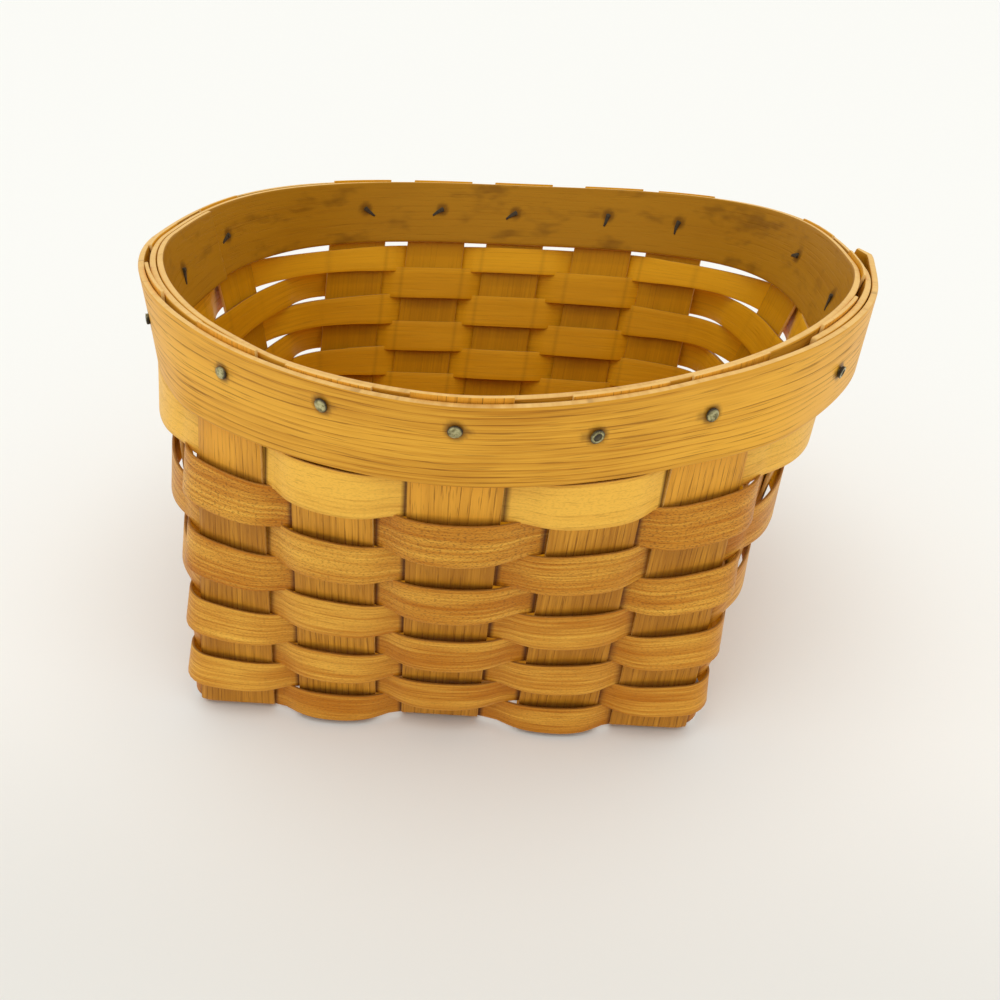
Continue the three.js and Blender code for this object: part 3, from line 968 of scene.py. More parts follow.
@dataclass
class Stakes:
    """The crossed stakes: down one wall, across the base over and under each other, and up the far wall."""

    wall: BasketWall
    plan: RowPlan
    thickness: float = 1.1 * MM
    splint_gap: float = 0.3 * MM
    proud: float = 0.9 * MM
    proud_change: float = 0.5 * MM
    # Painted shade on the stakes just above the upper edges of the rows that pass outside them.
    gap_shade_reach: float = 1.6 * MM
    gap_shade: float = 0.5
    fade: float = -0.72
    fade_shares: Limits = (0.55, 0.80)
    tones: Limits = (0.30, 0.50)
    rounding: float = 0.25 * MM
    cross_seed: int = 20
    long_seed: int = 40
    columns: int = 9
    bend_steps: int = 7
    wall_steps: int = 110
    base_step: float = 2.5 * MM

    def build(self, look: SplintLook) -> list[bpy.types.Object]:
        """Makes all stakes.

        Args:
            look: Their finishes.

        Returns:
            The pieces.
        """
        wall = self.wall
        cross = wall.middles(wall.cross_spaces, 0.0)
        long = wall.middles(wall.long_spaces, 0.0)
        pieces = []
        for i, middle in enumerate(cross):
            above = [(run, (i + j) % 2 == 0) for j, run in enumerate(long)]
            far = 2 * len(cross) + len(long) - 1 - i
            strip = self._rows(i, far, middle, wall.base_depth / 2, above, False)
            pieces.append(self._splint(f"cross_stake_{i + 1}", *strip, self.cross_seed + i).build(look))
        for j, middle in enumerate(long):
            above = [(-run, (i + j) % 2 == 1) for i, run in enumerate(cross)][::-1]
            near, far = len(cross) + j, wall.uprights - 1 - j
            strip = self._rows(near, far, middle, wall.base_length / 2, above, True)
            pieces.append(self._splint(f"long_stake_{j + 1}", *strip, self.long_seed + j).build(look))
        return pieces

    def _splint(self, name: str, rows: np.ndarray, gap_shade: np.ndarray, fading: np.ndarray,
                seed: int) -> Splint:
        """Takes one stake's strip.

        Args:
            name: The stake's node.
            rows: Its rows of points.
            gap_shade: The painted shade on each row.
            fading: The change of tone of each row.
            seed: The stake's own seed.

        Returns:
            The strip.
        """
        tone = random.Random(seed).uniform(*self.tones)
        stains_and_shade = np.broadcast_to(gap_shade[:, None], rows.shape[:2])
        tones = np.broadcast_to(fading[:, None], rows.shape[:2])
        return Splint(
            name, WoodSlot.STAKE, rows, self.thickness, self.rounding, tone, seed=seed, tones=tones,
            stains_and_shade=stains_and_shade)

    def _gap_shade(self, upright: int, shares: np.ndarray) -> np.ndarray:
        """Finds the painted shade on an upright behind the upper edges of the rows that pass outside it.

        Args:
            upright: The upright.
            shares: Shares of the wall's height.

        Returns:
            The painted shade at each share, from 0 to 1.
        """
        place = np.array(float(upright))
        drops = float(self.wall.length(place)) * (1 - shares)
        darkening = np.zeros_like(drops)
        for row in range(self.plan.count):
            if self.plan.outside(row, upright) > 0:
                drop, width = (float(value) for value in self.plan.place(row, place))
                above = drop - width / 2 - drops
                behind = (above < self.gap_shade_reach) & (above > -width / 2)
                darkening = np.where(behind, np.maximum(darkening, 1 - smooth(above / self.gap_shade_reach)), darkening)
        return darkening * self.gap_shade

    def _rows(self, first: int, second: int, middle: float, edge: float, crossings: list[Crossing],
              is_long: bool) -> tuple[np.ndarray, np.ndarray, np.ndarray]:
        """Finds the strip's points.

        Args:
            first: The upright where it starts.
            second: The upright where it ends.
            middle: How far it lies from the base's middle.
            edge: How far the base's edges lie from its middle.
            crossings: The places of the stakes that cross it, and whether it passes above them.
            is_long: Whether it runs along the base's length.

        Returns:
            Rows of points, the painted shade on each row, and its change of tone, which grows paler towards
            the rim.
        """
        wall = self.wall
        offsets = np.linspace(wall.stake_width / 2, -wall.stake_width / 2, self.columns)
        bend_run = edge - wall.bend
        low = self.thickness / 2
        high = low + self.thickness + self.splint_gap
        levels = [high if above else low for _, above in crossings]
        reach = wall.stake_width / 2 + wall.crossing_margin

        def base_row(run: float) -> np.ndarray:
            """Finds the points across the stake on the base.

            Args:
                run: Their place along the stake, from the base's middle.

            Returns:
                One point for each column.
            """
            level = levels[0]
            for (place, _), (after, _), start, end in zip(crossings, crossings[1:], levels, levels[1:]):
                span = after - place - 2 * reach
                if run > place:
                    level = start + (end - start) * float(smooth((run - place - reach) / span))
            if is_long:
                return wall.base_point(-run, middle + offsets, level)
            return wall.base_point(middle + offsets, run, level)

        def wall_row(upright: int, direction: int, share: float) -> np.ndarray:
            """Finds the points across the stake at a share of the wall's height."""
            stations = [wall.beside(upright, direction * offset, min(share, 1.0)) for offset in offsets]
            return wall.point(np.array(stations, float), share)

        def wall_shares(upright: int) -> np.ndarray:
            """Spaces the rows of points down an upright.

            Args:
                upright: The upright.

            Returns:
                Shares of the wall's height, from its top.
            """
            chance = random.Random(upright)
            length = float(wall.length(float(upright)))
            top = 1 + (self.proud + chance.uniform(-1, 1) * self.proud_change) / length
            return np.linspace(top, wall.bend / length, self.wall_steps)

        def wall_rows(upright: int, direction: int) -> list[np.ndarray]:
            """Finds all rows of points of an upright, from its top."""
            return [wall_row(upright, direction, share) for share in wall_shares(upright)]

        def bend_rows(upright: int, direction: int, run: float) -> list[np.ndarray]:
            """Bends the stake from an upright into the base.

            Args:
                upright: The upright.
                direction: 1 where the stake starts there, and -1 where it ends.
                run: The place along the base where the bend ends.

            Returns:
                Its rows of points, from the wall.
            """
            share = wall.bend / float(wall.length(float(upright)))
            start, knee = wall_row(upright, direction, share), wall_row(upright, direction, 0.0)
            end = base_row(run)
            knee = knee * np.array([1.0, 1.0, 0.0]) + np.array([0.0, 0.0, 1.0]) * end[:, 2:3]
            turns = np.linspace(0, 1, self.bend_steps + 1)[1:]
            return [start * (1 - t) ** 2 + knee * 2 * t * (1 - t) + end * t * t for t in turns]

        steps = max(2, round(2 * bend_run / self.base_step))
        base_rows = [base_row(run) for run in np.linspace(-bend_run, bend_run, steps + 1)[1:-1]]
        rows = np.array([
            *wall_rows(first, 1),
            *bend_rows(first, 1, -bend_run),
            *base_rows,
            *reversed(bend_rows(second, -1, bend_run)),
            *reversed(wall_rows(second, -1)),
        ])
        plain = np.zeros(len(rows) - 2 * self.wall_steps)
        first_shares, second_shares = wall_shares(first), wall_shares(second)[::-1]
        # Painted shade behind the rows' upper edges, on the wall's rows of points only.
        darkening = [self._gap_shade(first, first_shares), plain, self._gap_shade(second, second_shares)]
        start, full = self.fade_shares
        first_fade, second_fade = (
            self.fade * smooth((shares - start) / (full - start)) for shares in (first_shares, second_shares))
        return rows, np.concatenate(darkening), np.concatenate([first_fade, plain, second_fade])


@dataclass
class Weavers:
    """The woven rows: in front of one upright and behind the next, each lapping over its own start."""

    plan: RowPlan
    thickness: float = 0.9 * MM
    outer_bulge: float = 3.3 * MM
    inner_bulge: float = 1.9 * MM
    bulge_change: float = 0.6 * MM
    flatness: float = 1.3
    tilt: float = 1.2 * MM
    shingle: float = 0.5 * MM
    turnover: float = 0.25
    turnover_rate: float = 10.0
    wobble: float = 0.22 * MM
    splint_gap: float = 0.2 * MM
    top_slit: float = 2.3 * MM
    # Paler on the crests where the row bulges out and darker where it dives behind an upright: partly rubbed
    # wear, partly painted light on the crests and painted shade at the crossings.
    crest_rub_and_shade: float = 0.12
    # Painted shade on a row beside the edges of the uprights that it slips behind.
    slit: float = 0.95
    slit_reach: float = 1.2 * MM
    lap: int = 3
    lap_ramp: float = 0.5
    rounding: float = 0.22 * MM
    grain_seed: int = 60
    wobble_seed: int = 50
    steps: int = 26
    columns: int = 7
    # Row 1 is a paler strip; rows 2 to 9 grow a little deeper towards the base as painted shade.
    tones: tuple[float, ...] = (-0.26, 0.42, 0.42, 0.48, 0.40, 0.48, 0.44, 0.48, 0.52)
    flecks: tuple[float, ...] = (0.25, 1.0, 0.7, 0.8, 0.35, 0.5, 0.4, 0.3, 0.5)

    def build(self, look: SplintLook) -> list[bpy.types.Object]:
        """Makes all rows.

        Args:
            look: Their finishes.

        Returns:
            The pieces.
        """
        pieces = []
        for row in range(self.plan.count):
            rows, crest_rub_and_shading, stains_and_shade = self._rows(row)
            strip = Splint(
                f"weaver_row_{row + 1}", WoodSlot.WEAVER, rows, self.thickness, self.rounding,
                self.tones[row], self.flecks[row], self.grain_seed + row, crest_rub_and_shading, stains_and_shade)
            pieces.append(strip.build(look))
        return pieces

    def lap_start(self, row: int, outside: int) -> int:
        """Finds the upright where a row's lap starts.

        Args:
            row: The row, from the top.
            outside: 1 where the row passes outside the even uprights, and -1 where inside.

        Returns:
            The upright's number.
        """
        wall = self.plan.wall
        cross, long = len(wall.cross_spaces) + 1, len(wall.long_spaces) + 1
        wanted = cross + (row * long) % (cross + long)
        return wanted if (wanted % 2 == 0) == (outside > 0) else wanted + 1

    def _rows(self, row: int) -> tuple[np.ndarray, np.ndarray, np.ndarray]:
        """Finds a row's points, with a hand weaver's small changes at each upright.

        Args:
            row: The row, from the top.

        Returns:
            Rows of points, the change of tone at each, and the painted shade at each.
        """
        wall = self.plan.wall
        outside = self.plan.outside(row, 0)
        start = self.lap_start(row, outside)
        turn = wall.uprights
        end = start + turn + self.lap
        station = np.linspace(start, end, (turn + self.lap) * self.steps + 1)
        wave = outside * np.tanh(self.flatness * np.cos(np.pi * station)) / math.tanh(self.flatness)
        under = 1 - smooth((station - start - self.lap) / self.lap_ramp)
        over = smooth((station - start - turn + self.lap_ramp) / self.lap_ramp)
        layer = self.thickness + self.splint_gap
        lift = over * layer * (1 + wave) / 2 - under * layer * (1 - wave) / 2
        swell = self.outer_bulge + self._hand(row, station, 0.0, 1.0) * self.bulge_change
        bulge = np.where(wave > 0, swell, self.inner_bulge)
        length = wall.length(station)
        drop, width = self.plan.place(row, station)
        drop = drop + self._hand(row + self.wobble_seed, station, -1.0, 1.0) * self.wobble
        if row == 0:
            slit = self.top_slit * (1 - smooth(self.plan.front(station) / self.turnover))
            drop, width = drop + slit / 2, width - slit
        forward = self.turnover_rate * (self.plan.front(station) - self.turnover)
        shingle = self.shingle * np.clip(forward, -1, 1)
        tilt = shingle + (self.tilt - shingle) * np.maximum(wave, 0.0) ** 2
        columns = []
        for edge in np.linspace(1, -1, self.columns):
            share = 1 - (drop - edge * width / 2) / length
            offset = bulge * wave + lift - edge * tilt
            columns.append(wall.point(station, share) + wall.normal(station, share) * offset[:, None])
        # Painted shade where the row slips behind an upright.
        stains_and_shade = self._slits(outside, station, 1 - drop / length)
        size = (len(station), self.columns)
        # Painted light on the crests and painted shade toward the crossings, with rubbed wear.
        crest_rub_and_shading = np.broadcast_to(-self.crest_rub_and_shade * wave[:, None], size)
        return np.stack(columns, 1), crest_rub_and_shading, np.broadcast_to(stains_and_shade[:, None], size)

    def _slits(self, outside: int, station: np.ndarray, share: np.ndarray) -> np.ndarray:
        """Finds the painted shade where a row slips behind the edges of the uprights that it passes inside.

        Args:
            outside: 1 where the row passes outside the even uprights, and -1 where inside.
            station: Stations along the row.
            share: The row's share of the wall's height at each.

        Returns:
            The painted shade at each station, from 0 to 1.
        """
        wall = self.plan.wall
        step = 0.05
        apart = wall.point(station + step, share) - wall.point(station - step, share)
        pitch = np.linalg.norm(apart, axis=-1) / (2 * step)
        inner = 1.0 if outside > 0 else 0.0
        beside = np.abs(np.mod(station - inner + 1, 2) - 1) * pitch - wall.stake_width / 2
        return self.slit * (1 - smooth(np.abs(beside - self.slit_reach / 2) / self.slit_reach))

    def _hand(self, seed: int, station: np.ndarray, low: float, high: float) -> np.ndarray:
        """Draws one number for each upright and eases between them.

        Args:
            seed: The row's seed.
            station: Stations along the row.
            low: The least number.
            high: The most.

        Returns:
            One number for each station.
        """
        chance = random.Random(seed)
        turn = self.plan.wall.uprights
        drawn = np.array([chance.uniform(low, high) for _ in range(turn)])
        index = np.floor(station).astype(int)
        first, second = drawn[index % turn], drawn[(index + 1) % turn]
        return first + (second - first) * smooth(station - index)


@dataclass
class RimBands:
    """The rim's outer and inner bent bands, each lapped over itself, with the stakes' ends between them."""

    wall: BasketWall
    width: float = 25.4 * MM
    thickness: float = 2.0 * MM
    stake_thickness: float = 1.1 * MM
    gap: float = 0.2 * MM
    outer_lap: Limits = (4.6, 6.3)
    inner_lap: Limits = (13.3, 15.7)
    ramp: float = 1.0
    spring: float = 1.5 * MM
    spring_run: float = 0.4
    hang: float = 8.0 * MM
    hang_run: float = 2.2
    end_rise: float = 2.5 * MM
    end_rise_run: float = 0.6
    rounding: float = 0.5 * MM
    step: float = 0.07
    fine_step: float = 0.022
    fine_reach: float = 0.18
    least_step: float = 0.8
    columns: int = 22
    tone: float = 0.08
    fleck: float = 0.15
    # Painted light: how much paler the band grows away from the middle of the front, and over how many
    # uprights.
    painted_end_light: float = -0.35
    painted_end_light_reach: float = 3.2
    outer_seed: int = 80
    inner_seed: int = 81
    stain_seed: int = 300
    ring_stain: float = 0.75
    ring_reach: float = 1.9 * MM
    ring_fade: float = 1.5 * MM
    tear_stains: Limits = (0.3, 0.8)
    tear_place: float = 3.0 * MM
    tear_stretch: float = 2.6
    tear_reach: float = 0.1 * MM
    tear_fade: float = 0.7 * MM
    tack_drifts: tuple[float, ...] = (
        2.1, 0.1, -0.7, -5.8, -6.5, -3.1, 0, 0, 0, 0, 1.5, -1, -2, 2, 1.5, -2)
    tack_drops: tuple[float, ...] = (
        7.8, 6.3, 7.2, 10.2, 10.4, 14, 12, 11.4, 11.4, 11, 11.8, 11.4, 11, 11.6, 12, 12)

    def __post_init__(self) -> None:
        """Works out how far the bands lie from the stakes."""
        self.offset = self.stake_thickness / 2 + self.gap + self.thickness / 2
        self.layer = self.thickness + self.gap

    def tack_station(self, upright: int) -> float:
        """Finds where an upright's tack was driven."""
        return float(self.wall.beside(upright, self.tack_drifts[upright] * MM, 1.0))

    def tack_share(self, upright: int) -> float:
        """Finds the height where an upright's tack was driven."""
        return float(1 - self.tack_drops[upright] * MM / self.wall.length(self.tack_station(upright)))

    def outer_offset(self, station: float, down: float) -> float:
        """Finds how far the outer band's outermost layer lies from the middle of the stakes.

        Args:
            station: A station of the first turn.
            down: A share of the band's width, from its top.

        Returns:
            The distance outwards.
        """
        turn = self.wall.uprights
        start, end = self.outer_lap
        place = station + turn if station < start - self.ramp else station
        place = place - turn if place > end else place
        rise = float(smooth((place - start + self.ramp) / self.ramp))
        spring = float(smooth((place - end + self.spring_run) / self.spring_run))
        hang = float(smooth((place - end + self.hang_run) / self.hang_run))
        return self.offset + self.layer * rise + self.spring * spring + self.hang * hang * down

    def inner_offset(self, station: float) -> float:
        """Finds how far the inner band's innermost layer lies inside the middle of the stakes.

        Args:
            station: A station from the lap's start on.

        Returns:
            The distance inwards.
        """
        start, end = self.inner_lap
        rise = float(smooth((end + self.ramp - station) / self.ramp)) if station >= start else 0.0
        return self.offset + self.layer * rise

    def build(self, look: SplintLook) -> list[bpy.types.Object]:
        """Makes both bands.

        Args:
            look: Their finishes.

        Returns:
            The pieces.
        """
        turn = self.wall.uprights
        outer_turn, outer_end = self.outer_lap[0] + turn, self.outer_lap[1] + turn
        inner_turn, inner_end = self.inner_lap[0] + turn, self.inner_lap[1] + turn

        def outer(station: float, down: float) -> float:
            """Finds the outer band's distance from the stakes."""
            lapped = station >= outer_turn - self.ramp
            return self.outer_offset(station - turn, down) if lapped else self.offset

        def inner(station: float, down: float) -> float:
            """Finds the inner band's distance from the stakes, the same all the way down."""
            return -(self.inner_offset(station) if station < inner_turn else self.offset)

        pieces = []
        for name, low, high, offset, seed in (
                ("outer_rim_band", self.outer_lap[0], outer_end, outer, self.outer_seed),
                ("inner_rim_band", self.inner_lap[0], inner_end, inner, self.inner_seed)):
            stations = self._stations(low, high)
            rows, stains_and_shade = self._rows(stations, offset)
            # Painted light along the band, paler away from the middle of the front.
            tones = np.broadcast_to(self._painted_end_light(stations)[:, None], rows.shape[:2])
            strip = Splint(
                name, WoodSlot.BAND, rows, self.thickness, self.rounding, self.tone, self.fleck, seed, tones,
                stains_and_shade)
            pieces.append(strip.build(look))
        return pieces

    def _painted_end_light(self, stations: np.ndarray) -> np.ndarray:
        """Finds the painted light along a band, which leaves it deepest at the middle of the front and paler
        away from it.

        Args:
            stations: Stations along the band.

        Returns:
            One number for each.
        """
        deepest = len(self.wall.cross_spaces) / 2
        turn = self.wall.uprights
        apart = np.abs(np.mod(stations - deepest + turn / 2, turn) - turn / 2)
        return self.painted_end_light * smooth(apart / self.painted_end_light_reach)

    def _stations(self, low: float, high: float) -> np.ndarray:
        """Spaces the stations along a band, closer beside its tacks.

        Args:
            low: The band's first station.
            high: Its last.

        Returns:
            The stations.
        """
        turn = self.wall.uprights
        stations = list(np.arange(low, high, self.step)) + [high]
        for upright in range(math.floor(low), math.ceil(high) + 1):
            tack = self.tack_station(upright % turn) + upright - upright % turn
            stations += list(np.arange(tack - self.fine_reach, tack + self.fine_reach, self.fine_step))
        kept = sorted(station for station in stations if low <= station <= high)
        least = self.fine_step * self.least_step
        spaced = [kept[0]]
        for station in kept[1:-1]:
            if station - spaced[-1] > least and high - station > least:
                spaced.append(station)
        return np.array([*spaced, high])

    def _rows(self, stations: np.ndarray,
              offset: Callable[[float, float], float]) -> tuple[np.ndarray, np.ndarray]:
        """Finds a band's points and the dark stains beside its tacks.

        Args:
            stations: Stations along the band.
            offset: The band's distance from the stakes at a station and a share of its width.

        Returns:
            Rows of points, and the stain at each.
        """
        wall = self.wall
        length = wall.length(stations)
        downs = np.linspace(0, 1, self.columns)
        offsets = np.array([[offset(station, down) for down in downs] for station in stations])
        outer_end = self.outer_lap[1] + wall.uprights
        rise = self.end_rise * smooth((stations - outer_end + self.end_rise_run) / self.end_rise_run)
        rise = np.where(offsets[:, 0] > 0, rise, 0.0)
        columns = []
        for column, down in enumerate(downs):
            height = 1 - (down * self.width - rise) / length
            out = wall.normal(stations, height) * offsets[:, column, None]
            columns.append(wall.point(stations, height) + out)
        rows = np.stack(columns, 1)
        stains_and_shade = np.zeros(rows.shape[:2])
        for upright in range(wall.uprights):
            stains_and_shade = np.maximum(stains_and_shade, self._stain(upright, rows, offsets))
        return rows, stains_and_shade

    def _stain(self, upright: int, rows: np.ndarray, offsets: np.ndarray) -> np.ndarray:
        """Finds the dark ring round a tack and the tear in the wood to one side of it.

        Args:
            upright: The tack's upright.
            rows: The band's points.
            offsets: How far each lies from the middle of the stakes.

        Returns:
            The stain at each point.
        """
        wall = self.wall
        chance = random.Random(self.stain_seed + upright)
        place = wall.point(self.tack_station(upright), self.tack_share(upright))
        step, high = 0.05, 0.9
        around = wall.point(upright + step, high) - wall.point(upright - step, high)
        around = around / np.linalg.norm(around)
        apart = rows - place
        along = apart @ around
        up = np.sqrt(np.maximum((apart ** 2).sum(-1) - along ** 2 - offsets ** 2, 0.0))
        ring = 1 - smooth((np.hypot(along, up) - self.ring_reach) / self.ring_fade)
        aside = (along - chance.choice((-1, 1)) * self.tear_place) / self.tear_stretch
        tear = 1 - smooth((np.hypot(aside, up) - self.tear_reach) / self.tear_fade)
        return np.maximum(ring * self.ring_stain, tear * chance.uniform(*self.tear_stains))


@dataclass
class RimTacks:
    """The tacks that hold the rim: a struck head outside, and a tail bent over inside."""

    bands: RimBands
    seed: int = 500
    head: float = 3.9 * MM
    head_height: float = 1.0 * MM
    head_sides: int = 20
    head_sink: float = 0.1 * MM
    head_rounding: float = 0.55
    head_crease: float = 30.0
    face_up: float = 0.95
    face_inset: float = 0.12
    dish_inset: float = 0.10
    dish_depths: Limits = (-0.12, 0.10)
    long_squeeze: Limits = (1.0, 1.08)
    short_squeeze: Limits = (0.80, 0.95)
    head_lean: float = 0.10
    # Where the painted shade on the head's rounded edge starts and how fast it deepens, as shares of the
    # head's width.
    edge_shade_start: float = 0.36
    edge_shade_fade: float = 0.12
    edge_shade_below: float = 0.2 * MM
    shank_darkness: float = 0.95
    shank: float = 1.5 * MM
    shank_sides: int = 10
    shank_lift: float = 0.05 * MM
    tail: float = 5.4 * MM
    tail_thickness: float = 0.8 * MM
    tail_turn: float = math.radians(85)
    tail_sink: float = 0.35
    tail_spread: float = 1.3
    tail_flatness: float = 0.8
    tail_cuts: int = 3
    tail_aside: float = 0.25
    tail_taper: float = 0.6
    tail_thinning: float = 0.55
    tail_press: float = 0.28
    tail_rounding: float = 0.15 * MM
    tail_crease: float = 40.0
    smooth_crease: float = 40.0

    def build(self, finish: bpy.types.Material) -> list[bpy.types.Object]:
        """Makes all tacks.

        Args:
            finish: The steel.

        Returns:
            The pieces.
        """
        return [self._tack(upright, finish) for upright in range(self.bands.wall.uprights)]

    def _frame(self, upright: int) -> Matrix:
        """Finds a tack's place.

        Args:
            upright: The upright that it was driven through.

        Returns:
            A frame whose Z points out of the wall and whose Y points up it.
        """
        wall = self.bands.wall
        station, share = self.bands.tack_station(upright), self.bands.tack_share(upright)
        out = Vector(wall.normal(station, share))
        up = Vector(wall.point(station, 1.0) - wall.point(station, 0.0)).normalized()
        along = up.cross(out).normalized()
        up = out.cross(along)
        place = Matrix((along, up, out)).transposed().to_4x4()
        place.translation = Vector(wall.point(station, share))
        return place

    def _tack(self, upright: int, finish: bpy.types.Material) -> bpy.types.Object:
        """Models one tack.

        Args:
            upright: The upright that it was driven through.
            finish: The steel.

        Returns:
            The piece.
        """
        chance = random.Random(self.seed + upright)
        bands = self.bands
        station = bands.tack_station(upright)
        inward = station + bands.wall.uprights if station < bands.inner_lap[0] else station
        lowest = (bands.tack_drops[upright] * MM + self.head / 2) / bands.width
        seat = bands.outer_offset(station, lowest) + bands.thickness / 2 - self.head_sink
        inside = -bands.inner_offset(inward) - bands.thickness / 2
        depth = seat - inside + self.tail_thickness
        head = self._pin(self.head, self.head_sides, self.head_height, seat + self.head_height / 2)
        self._strike(head, chance, seat + self.head_height)
        shank = self._pin(self.shank, self.shank_sides, depth, seat - depth / 2 + self.shank_lift)
        bpy.ops.object.select_all(action="DESELECT")
        tail_place = (0, 0, inside - self.tail_thickness * self.tail_sink)
        bpy.ops.mesh.primitive_cube_add(size=1.0, location=tail_place)
        tail = bpy.context.active_object
        self._clinch(tail, chance)
        for piece in (head, shank, tail):
            piece.select_set(True)
        bpy.context.view_layer.objects.active = head
        bpy.ops.object.transform_apply(location=True, rotation=True, scale=True)
        bpy.ops.object.join()
        tack = bpy.context.active_object
        self._mark_edge_shade_and_shank(tack.data, seat)
        tack.data.transform(self._frame(upright))
        tack.data.materials.append(finish)
        bpy.ops.object.shade_smooth_by_angle(angle=math.radians(self.smooth_crease))
        hand_in(tack, f"rim_tack_{upright + 1:02d}")
        return tack

    @staticmethod
    def _pin(width: float, sides: int, depth: float, middle: float) -> bpy.types.Object:
        """Adds a round pin along Z.

        Args:
            width: Its width.
            sides: How many sides it has.
            depth: Its length.
            middle: The height of its middle.

        Returns:
            The pin, alone selected.
        """
        bpy.ops.object.select_all(action="DESELECT")
        bpy.ops.mesh.primitive_cylinder_add(
            vertices=sides, radius=width / 2, depth=depth, location=(0, 0, middle))
        return bpy.context.active_object

    def _mark_edge_shade_and_shank(self, mesh: bpy.types.Mesh, seat: float) -> None:
        """Marks the painted shade on the head's rounded edge round its face, and all that lies below the
        head.

        Args:
            mesh: The whole tack.
            seat: The height of the head's underside.
        """
        places = np.zeros(len(mesh.vertices) * 3)
        mesh.vertices.foreach_get("co", places)
        places = places.reshape(-1, 3)
        radius = np.hypot(places[:, 0], places[:, 1])
        # Painted shade on the head's rounded edge, where it curves down to the band.
        rim = smooth((radius - self.head * self.edge_shade_start) / (self.head * self.edge_shade_fade))
        edge_shade_and_shank = np.where(places[:, 2] > seat - self.edge_shade_below, rim, self.shank_darkness)
        mesh.attributes.new("edge_shade_and_shank", "FLOAT", "POINT").data.foreach_set("value", edge_shade_and_shank)

    def _strike(self, head: bpy.types.Object, chance: random.Random, top: float) -> None:
        """Rounds and dents a head as a hammer does.

        Args:
            head: The head's plain disc.
            chance: The tack's own seeded numbers.
            top: The height of its top.
        """
        bpy.ops.object.transform_apply(location=True, rotation=True, scale=True)
        round_edges(head, self.head_height * self.head_rounding, segments=3, crease=self.head_crease)
        bpy.ops.object.mode_set(mode="EDIT")
        bpy.ops.mesh.select_all(action="DESELECT")
        bpy.ops.object.mode_set(mode="OBJECT")
        for face in head.data.polygons:
            face.select = face.normal.z > self.face_up
        dish = self.head_height * chance.uniform(*self.dish_depths)
        bpy.ops.object.mode_set(mode="EDIT")
        bpy.ops.mesh.inset(thickness=self.head * self.face_inset, depth=0.0)
        bpy.ops.mesh.inset(thickness=self.head * self.dish_inset, depth=dish)
        bpy.ops.object.mode_set(mode="OBJECT")
        turn = Matrix.Rotation(chance.uniform(0, math.pi), 4, "Z")
        long, short = chance.uniform(*self.long_squeeze), chance.uniform(*self.short_squeeze)
        squeeze = Matrix.Diagonal((long, short, 1.0, 1.0))
        lean = Matrix.Rotation(chance.uniform(-self.head_lean, self.head_lean), 4, "X")
        middle = Matrix.Translation((0, 0, top))
        head.data.transform(middle @ turn @ lean @ squeeze @ turn.inverted() @ middle.inverted())

    def _clinch(self, tail: bpy.types.Object, chance: random.Random) -> None:
        """Shapes the bent-over tail, which tapers to its point and lies to any side.

        Args:
            tail: A plain unit block.
            chance: The tack's own seeded numbers.
        """
        thickness = self.tail_thickness
        tail.scale = (self.shank * self.tail_spread, self.tail, thickness * self.tail_flatness)
        bpy.ops.object.transform_apply(location=False, rotation=False, scale=True)
        bpy.ops.object.mode_set(mode="EDIT")
        bpy.ops.mesh.subdivide(number_cuts=self.tail_cuts)
        bpy.ops.object.mode_set(mode="OBJECT")
        bow = chance.uniform(-self.tail_aside, self.tail_aside) * self.tail
        for vertex in tail.data.vertices:
            share = 0.5 - vertex.co.y / self.tail
            vertex.co.x = vertex.co.x * (1 - self.tail_taper * share) + bow * share * share
            vertex.co.z = vertex.co.z * (1 - self.tail_thinning * share) + thickness * self.tail_press * share
            vertex.co.y -= self.tail / 2 - self.shank / 3
        turn = chance.uniform(-self.tail_turn, self.tail_turn)
        tail.data.transform(Matrix.Rotation(turn, 4, "Z"))
        round_edges(tail, self.tail_rounding, segments=2, crease=self.tail_crease)


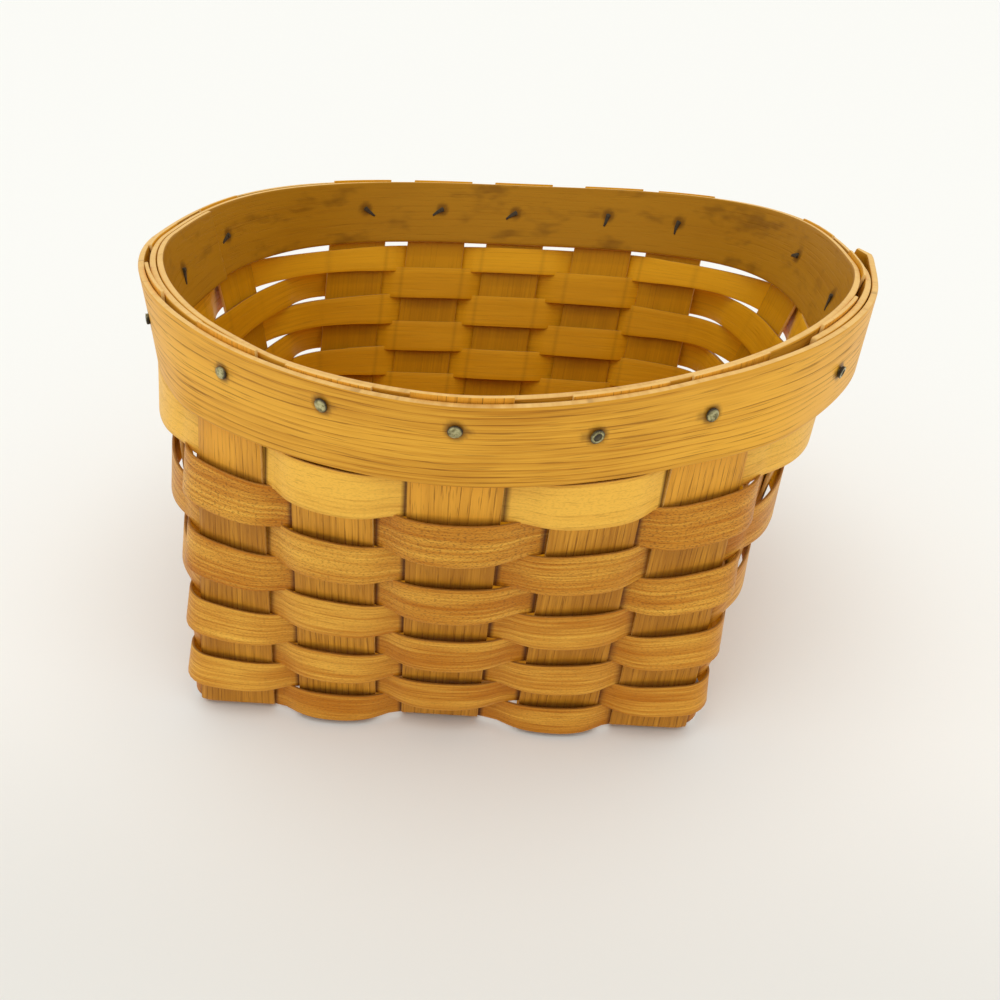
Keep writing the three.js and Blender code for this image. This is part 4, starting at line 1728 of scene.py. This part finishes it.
@dataclass
class Studio:
    """The pale floor, the soft light and the camera."""

    camera_place: tuple[float, float, float] = (22.96 * MM, -306.75 * MM, 224.66 * MM)
    camera_turn: tuple[float, float, float] = (4.569, 58.131, 1.178)
    lens: float = 33.10
    sensor: float = 36.0
    clip: Limits = (0.01, 200.0)
    floor_size: float = 60.0
    floor_gap: float = 0.1 * MM
    sky: float = 0.82
    sky_colour: Colour = (1.0, 0.985, 0.96)
    key: float = 0.8
    key_colour: Colour = (1.0, 0.97, 0.92)
    key_spread: float = math.radians(60)
    key_turn: tuple[float, float, float] = (8.0, 2.0, 0.0)

    def build(self) -> None:
        """Makes the floor, the lights and the camera."""
        self._floor()
        self._light()
        self._camera()

    def _floor(self) -> None:
        """Lays the floor."""
        bpy.ops.object.select_all(action="DESELECT")
        bpy.ops.mesh.primitive_plane_add(size=self.floor_size, location=(0, 0, -self.floor_gap))
        floor = bpy.context.active_object
        floor.name = "floor"
        floor.data.materials.append(FloorFinish().material())

    def _light(self) -> None:
        """Sets an even sky and one broad key light from above."""
        scene = bpy.context.scene
        scene.world = scene.world or bpy.data.worlds.new("sky")
        scene.world.use_nodes = True
        sky = scene.world.node_tree.nodes["Background"]
        sky.inputs["Color"].default_value = (*self.sky_colour, 1.0)
        sky.inputs["Strength"].default_value = self.sky
        bpy.ops.object.light_add(type="SUN", rotation=[math.radians(turn) for turn in self.key_turn])
        key = bpy.context.active_object
        key.name = "key_light"
        key.data.energy = self.key
        key.data.angle = self.key_spread
        key.data.color = self.key_colour

    def _camera(self) -> None:
        """Places the camera as the photograph's was."""
        bpy.ops.object.camera_add()
        camera = bpy.context.active_object
        camera.name = "photo_camera"
        yaw, pitch, roll = (math.radians(turn) for turn in self.camera_turn)
        turn = Matrix.Rotation(yaw, 4, "Z") @ Matrix.Rotation(pitch, 4, "X")
        turn = turn @ Matrix.Rotation(roll, 4, "Z")
        camera.matrix_world = Matrix.Translation(self.camera_place) @ turn
        camera.data.lens = self.lens
        camera.data.sensor_width = self.sensor
        camera.data.clip_start, camera.data.clip_end = self.clip
        scene = bpy.context.scene
        scene.camera = camera
        scene.view_settings.view_transform = "Standard"


INSIDE = {"line_strength": 0.2, "pore_strength": 0.12, "specular": 0.12, "coat": 0.02}
# The stake wood's deep colour is darkened as painted shade on the stakes between the rows.
STAKE_ASH = WoodFinish(
    "stake_ash", Grain.PORED, (0.86, 0.40, 0.034), (0.46, 0.178, 0.009), pore=(0.17, 0.055, 0.005),
    line_spacing=2.1 * MM, line_strength=0.4, pore_strength=0.55)
WEAVER_ASH = WoodFinish(
    "weaver_ash", Grain.FLECKED, (0.97, 0.545, 0.072), (0.50, 0.162, 0.002),
    line_spacing=2.6 * MM, line_strength=0.12, pore_strength=0.2, fleck_strength=0.5)
BAND_ASH = WoodFinish(
    "band_ash", Grain.LINED, (0.90, 0.46, 0.040), (0.54, 0.21, 0.007),
    line_spacing=2.2 * MM, line_strength=0.6, pore_strength=0.45)
# Inside, the stakes are finished darker and the weavers paler: painted shade on the stakes between the rows'
# inward bulges, and painted light on the bulges.
INNER_STAKE_ASH_SHADED = WoodFinish(
    "inner_stake_ash_shaded", Grain.LINED, (0.66, 0.305, 0.004), (0.50, 0.216, 0.002), darkening=0.2, **INSIDE)
INNER_WEAVER_ASH_LIT = WoodFinish(
    "inner_weaver_ash_lit", Grain.LINED, (0.83, 0.415, 0.010), (0.64, 0.290, 0.004), darkening=0.2, **INSIDE)
INNER_BAND_ASH = WoodFinish(
    "inner_band_ash", Grain.LINED, (0.48, 0.225, 0.008), (0.36, 0.148, 0.003), darkening=0.75, smudge=0.42,
    **INSIDE)
SPLINT_EDGE = CutEdge("splint_edge", (0.60, 0.31, 0.06), (0.34, 0.14, 0.012))
BAND_EDGE = CutEdge("band_edge", (0.84, 0.52, 0.15), (0.55, 0.27, 0.045))


def main() -> None:
    """Builds the studio and every piece of the basket, and logs each piece's faces."""
    logging.basicConfig(level=logging.INFO, format="%(name)s: %(message)s")
    Studio().build()
    wall = BasketWall()
    plan = RowPlan(wall)
    bands = RimBands(wall)
    band_edge = BAND_EDGE.material()
    stake_look = SplintLook(STAKE_ASH.material(), INNER_STAKE_ASH_SHADED.material(), band_edge)
    weaver_look = SplintLook(WEAVER_ASH.material(), INNER_WEAVER_ASH_LIT.material(), SPLINT_EDGE.material())
    band_look = SplintLook(BAND_ASH.material(), INNER_BAND_ASH.material(), band_edge)
    pieces = Stakes(wall, plan).build(stake_look)
    pieces += Weavers(plan).build(weaver_look)
    pieces += bands.build(band_look)
    pieces += RimTacks(bands).build(TackFinish().material())
    for piece in pieces:
        log.info("%s: %d faces", piece.name, len(piece.data.polygons))


if __name__ == "__main__":
    main()
